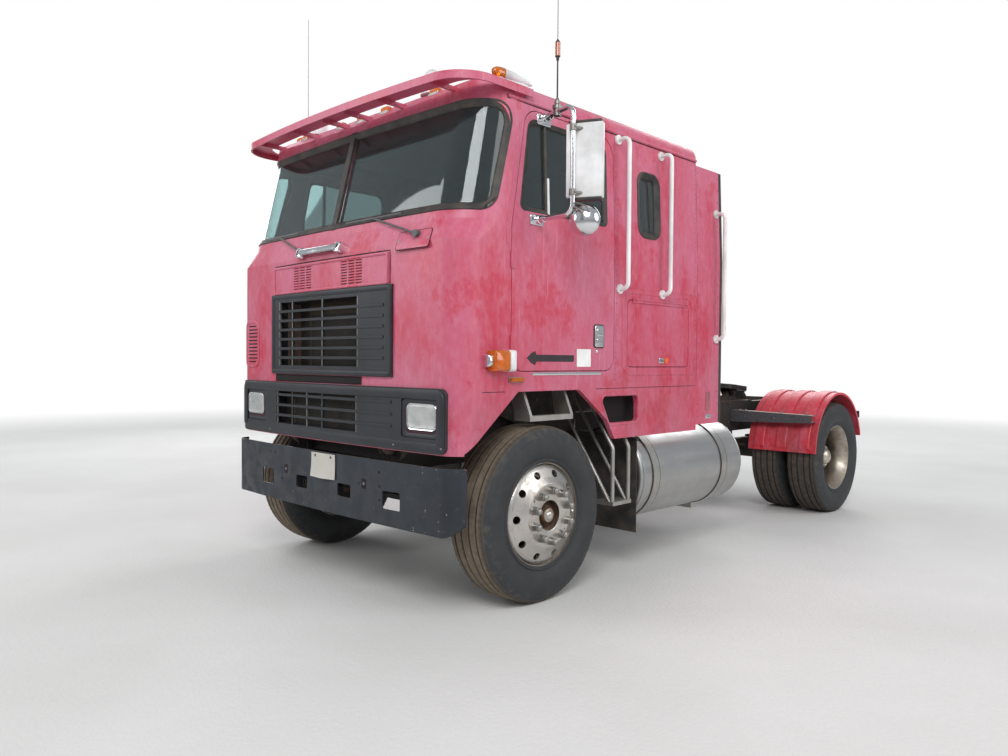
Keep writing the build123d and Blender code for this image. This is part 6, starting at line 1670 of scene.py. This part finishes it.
# Cushions: closed pads blown up by cloth pressure, channels pressed in, welts sewn round them
CUSHION_FRAMES = 20
CUSHION_PRESSURE = 4.0


def settle(pad):
    """Gives an object its evaluated mesh and drops its modifiers."""
    deps = bpy.context.evaluated_depsgraph_get()
    mesh = bpy.data.meshes.new_from_object(pad.evaluated_get(deps))
    pad.modifiers.clear()
    pad.data = mesh


def puffed(name, source, voxel, cap, floor):
    """Pad from a closed bmesh, swelled by at most cap and flat where it rests on the floor height."""
    mesh = bpy.data.meshes.new(name)
    source.to_mesh(mesh)
    source.free()
    pad = bpy.data.objects.new(name, mesh)
    bpy.context.scene.collection.objects.link(pad)
    remesh = pad.modifiers.new("remesh", "REMESH")
    remesh.mode = "VOXEL"
    remesh.voxel_size = voxel
    settle(pad)
    rest = [v.co.copy() for v in pad.data.vertices]
    cloth = pad.modifiers.new("cloth", "CLOTH")
    cloth.settings.use_pressure = True
    cloth.settings.uniform_pressure_force = CUSHION_PRESSURE
    cloth.settings.effector_weights.gravity = 0
    cloth.point_cache.frame_start = 1
    cloth.point_cache.frame_end = CUSHION_FRAMES
    for moment in range(1, CUSHION_FRAMES + 1):
        bpy.context.scene.frame_set(moment)
    settle(pad)
    bpy.context.scene.frame_set(1)
    for vertex, start in zip(pad.data.vertices, rest):
        move = vertex.co - start
        if move.length > cap:
            vertex.co = start + move.normalized() * cap
    for vertex in pad.data.vertices:
        vertex.co.z = max(vertex.co.z, floor)
    return pad


def press_channels(pad, turn, lines, reach, depth, width, level):
    """Sewn channels across the face of a pad: lines are (axis, place) in the face's own plane."""
    back = turn.inverted()
    push = turn.to_3x3() @ Vector((0, 0, -1))
    for vertex in pad.data.vertices:
        local = back @ vertex.co
        if local.z < level:
            continue
        near = min(abs(local[axis] - place) for axis, place in lines)
        inside = min(1, max(0, (reach[0] - abs(local.x)) / 0.02))
        inside *= min(1, max(0, (reach[1] - abs(local.y)) / 0.02))
        vertex.co += push * depth * inside * math.exp(-(near / width) ** 2)


def finish_pad(pad, material, hides):
    pad.data.materials.clear()
    pad.data.materials.append(material)
    for polygon in pad.data.polygons:
        polygon.use_smooth = True
    smooth = pad.modifiers.new("subdivision", "SUBSURF")
    smooth.levels = smooth.render_levels = 1
    settle(pad)
    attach(pad, "cab")
    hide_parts(*hides)


def welt(piece, pad, turn, width, height, corner, level, material, radius=0.0042):
    """Piping round a pad, laid on its sides at one level of its face's plane."""
    tree = BVHTree.FromPolygons([v.co.copy() for v in pad.data.vertices],
                                [tuple(p.vertices) for p in pad.data.polygons])
    path = []
    for u, v in round_rect(width, height, corner, 8):
        start = turn @ Vector((u * 1.4, v * 1.4, level))
        path.append(land(tree, start, turn @ Vector((u * 0.5, v * 0.5, level)) - start, 0.0005)[0])
    dense_path = [a.lerp(b, k / 4) for a, b in zip(path, path[1:] + path[:1]) for k in range(4)]
    piece.tube(dense_path, radius, material, sides=8, closed=True)


def rounded_slab(corners, low, high, across, soft):
    """Closed bmesh: an outline (y, z) between two X values, its edges rounded."""
    source = bmesh.new()
    rings = [[source.verts.new((x, y, z)) for y, z in corners] for x in (low, high)]
    count = len(corners)
    source.faces.new(rings[0])
    source.faces.new(rings[1][::-1])
    for k in range(count):
        m = (k + 1) % count
        source.faces.new((rings[0][k], rings[1][k], rings[1][m], rings[0][m]))
    bmesh.ops.recalc_face_normals(source, faces=source.faces)
    bmesh.ops.bevel(source, geom=source.edges, offset=soft, segments=3, affect="EDGES", profile=0.5)
    bmesh.ops.transform(source, matrix=Matrix.Translation((across, 0, 0)), verts=source.verts)
    return source


SEAT_X = 0.77
SEAT_TRIM = cloth_finish("seat_trim", srgb(60, 46, 42), srgb(38, 30, 28))


def make_seats():
    hides = ("seats",)
    for label, side in SIDES:
        across = side * SEAT_X
        pad = puffed(f"seat_pad_{label}",
                     rounded_slab(((-1.995, 1.514), (-1.995, 1.592), (-1.6, 1.592), (-1.6, 1.514)), -0.216,
                                  0.216, across, 0.026), 0.0085, 0.018, 1.502)
        turn = Matrix.Translation((across, -1.8, 1.59))
        press_channels(pad, turn, [(1, y) for y in (-0.115, -0.045, 0.025, 0.095)], (0.15, 0.15), 0.011,
                       0.013, -0.03)
        press_channels(pad, turn, [(0, x) for x in (-0.158, 0.158)], (0.3, 0.165), 0.011, 0.012, -0.03)
        back = puffed(f"seat_back_{label}",
                      rounded_slab(((-1.618, 1.64), (-1.572, 2.215), (-1.49, 2.222), (-1.53, 1.52),
                                    (-1.585, 1.52)), -0.214, 0.214, across, 0.026), 0.0085, 0.018, 1.502)
        lean = math.atan2(0.046, 0.575)
        face = Vector((0, -math.cos(lean), math.sin(lean)))
        tilt = frame_at((across, -1.595, 1.93), face)
        press_channels(back, tilt, [(1, v) for v in (-0.19, -0.11, -0.03, 0.05, 0.13)], (0.15, 0.23), 0.011,
                       0.013, -0.035)
        press_channels(back, tilt, [(0, u) for u in (-0.158, 0.158)], (0.3, 0.25), 0.011, 0.012, -0.035)
        piece = Piece(f"seat_base_{label}")
        welt(piece, pad, turn, 0.44, 0.4, 0.05, -0.012, SEAT_TRIM)
        welt(piece, back, tilt @ Matrix.Translation((0, 0.002, 0)), 0.43, 0.54, 0.06, -0.016, SEAT_TRIM)
        for one, fill in ((pad, 0.8), (back, 0.8)):
            finish_pad(one, MATERIALS["seat_cloth"], hides)
        turn = Matrix.Translation((across, -1.762, 0))
        steps = [(0.372, 0.372, 0.03, 1.2378), (0.372, 0.372, 0.03, 1.262), (0.352, 0.352, 0.03, 1.264)]
        for k in range(6):
            z = 1.272 + 0.034 * k
            steps += [(0.33, 0.33, 0.04, z), (0.362, 0.362, 0.04, z + 0.013),
                      (0.364, 0.364, 0.04, z + 0.017), (0.33, 0.33, 0.04, z + 0.031)]
        steps += [(0.35, 0.35, 0.03, 1.48), (0.376, 0.376, 0.03, 1.484), (0.376, 0.376, 0.03, 1.503)]
        shells(piece, turn, steps, BLACK_RUBBER, cap_first=True)
        for x in (-0.2, 0.2):
            piece.block((across + x - 0.014, -1.955, 1.484), (across + x + 0.014, -1.575, 1.508), POST_GREY,
                        0.003)
        piece.done("cab", hides, crease=40)


def make_mattress():
    pad = puffed("bunk_pad",
                 rounded_slab(((-1.166, 1.803), (-1.166, 1.886), (-0.538, 1.886), (-0.538, 1.803)), -1.052,
                              1.052, 0, 0.028), 0.016, 0.022, 1.7915)
    turn = Matrix.Translation((0, -0.852, 1.886))
    tufts = [(0, -0.9 + 0.2 * k) for k in range(10)]
    press_channels(pad, turn, tufts, (1.0, 0.27), 0.008, 0.022, -0.03)
    press_channels(pad, turn, [(1, v) for v in (-0.18, 0.0, 0.18)], (1.0, 0.3), 0.008, 0.022, -0.03)
    piece = Piece("bunk_pad_welts")
    for level in (-0.016, -0.07):
        welt(piece, pad, turn, 2.09, 0.62, 0.06, level, MATTRESS_TRIM, 0.005)
    finish_pad(pad, MATERIALS["mattress_cloth"], ("mattress",))
    piece.done("cab", ("mattress",), crease=60)


MATTRESS_TRIM = cloth_finish("mattress_trim", srgb(120, 112, 100), srgb(92, 84, 74))
make_seats()
make_mattress()


# Stage and light: a large pale floor, a pale world and soft lamps
def make_stage():
    floor_mesh = bpy.data.meshes.new("floor")
    far = 60
    floor_mesh.from_pydata([(-far, -far, 0), (far, -far, 0), (far, far, 0), (-far, far, 0)], [],
                           [(0, 1, 2, 3)])
    floor = bpy.data.objects.new("floor", floor_mesh)
    bpy.context.scene.collection.objects.link(floor)
    f = Finish("floor", srgb(214, 213, 210), roughness=0.85)
    f.feed("Base Color", f.mix(f.noise(0.6, detail=6, low=0.3, high=0.8), srgb(208, 207, 204),
                               srgb(222, 221, 219)))
    f.bump(f.noise(40, detail=4), 0.002, 0.4)
    middle = f.new("ShaderNodeVectorMath", operation="LENGTH")
    f.link(f.place, middle.inputs[0])
    away = f.spread(middle.outputs["Value"], 6.5, 17)
    seen = f.new("ShaderNodeLightPath").outputs["Is Camera Ray"]
    glow = f.new("ShaderNodeEmission")
    glow.inputs["Color"].default_value = (1, 1, 1, 1)
    blend = f.new("ShaderNodeMixShader")
    f.link(f.math("MULTIPLY", away, seen), blend.inputs["Fac"])
    f.link(f.shader.outputs["BSDF"], blend.inputs[1])
    f.link(glow.outputs["Emission"], blend.inputs[2])
    f.link(blend.outputs["Shader"], f.tree.nodes["Material Output"].inputs["Surface"])
    floor_mesh.materials.append(f.material)


# Name, place, target, size and power
LAMPS = (
    ("key", (6.5, -8.5, 8.0), (0.4, -0.6, 1.4), 5.0, 640),
    ("fill", (9.0, 1.5, 5.0), (0.6, 0.2, 1.4), 6.0, 300),
    ("front", (-5.5, -9.0, 5.0), (-0.4, -2.0, 1.5), 5.0, 260),
    ("back", (-2.0, 9.5, 7.0), (0, 1.2, 1.2), 6.0, 420),
    ("off_side", (-9.5, 0.5, 5.5), (-0.6, 0, 1.4), 6.0, 300),
)


def make_light():
    world = bpy.data.worlds.new("world")
    bpy.context.scene.world = world
    world.use_nodes = True
    tree = world.node_tree
    back = tree.nodes["Background"]
    back.inputs["Color"].default_value = srgb(226, 231, 238)
    back.inputs["Strength"].default_value = 0.5
    white = tree.nodes.new("ShaderNodeBackground")
    white.inputs["Color"].default_value = (1, 1, 1, 1)
    white.inputs["Strength"].default_value = 1.0
    path = tree.nodes.new("ShaderNodeLightPath")
    seen = tree.nodes.new("ShaderNodeMath")
    seen.operation = "MAXIMUM"
    tree.links.new(path.outputs["Is Camera Ray"], seen.inputs[0])
    tree.links.new(path.outputs["Is Transmission Ray"], seen.inputs[1])
    blend = tree.nodes.new("ShaderNodeMixShader")
    tree.links.new(seen.outputs["Value"], blend.inputs["Fac"])
    tree.links.new(back.outputs["Background"], blend.inputs[1])
    tree.links.new(white.outputs["Background"], blend.inputs[2])
    tree.links.new(blend.outputs["Shader"], tree.nodes["World Output"].inputs["Surface"])
    for name, place, target, size, power in LAMPS:
        data = bpy.data.lights.new(name, "AREA")
        data.shape = "DISK"
        data.size = size
        data.energy = power
        lamp = bpy.data.objects.new(name, data)
        bpy.context.scene.collection.objects.link(lamp)
        lamp.location = place
        lamp.rotation_euler = (Vector(target) - Vector(place)).to_track_quat("-Z", "Y").to_euler()
    bpy.context.scene.view_settings.view_transform = "Standard"


make_camera()
make_stage()
make_light()
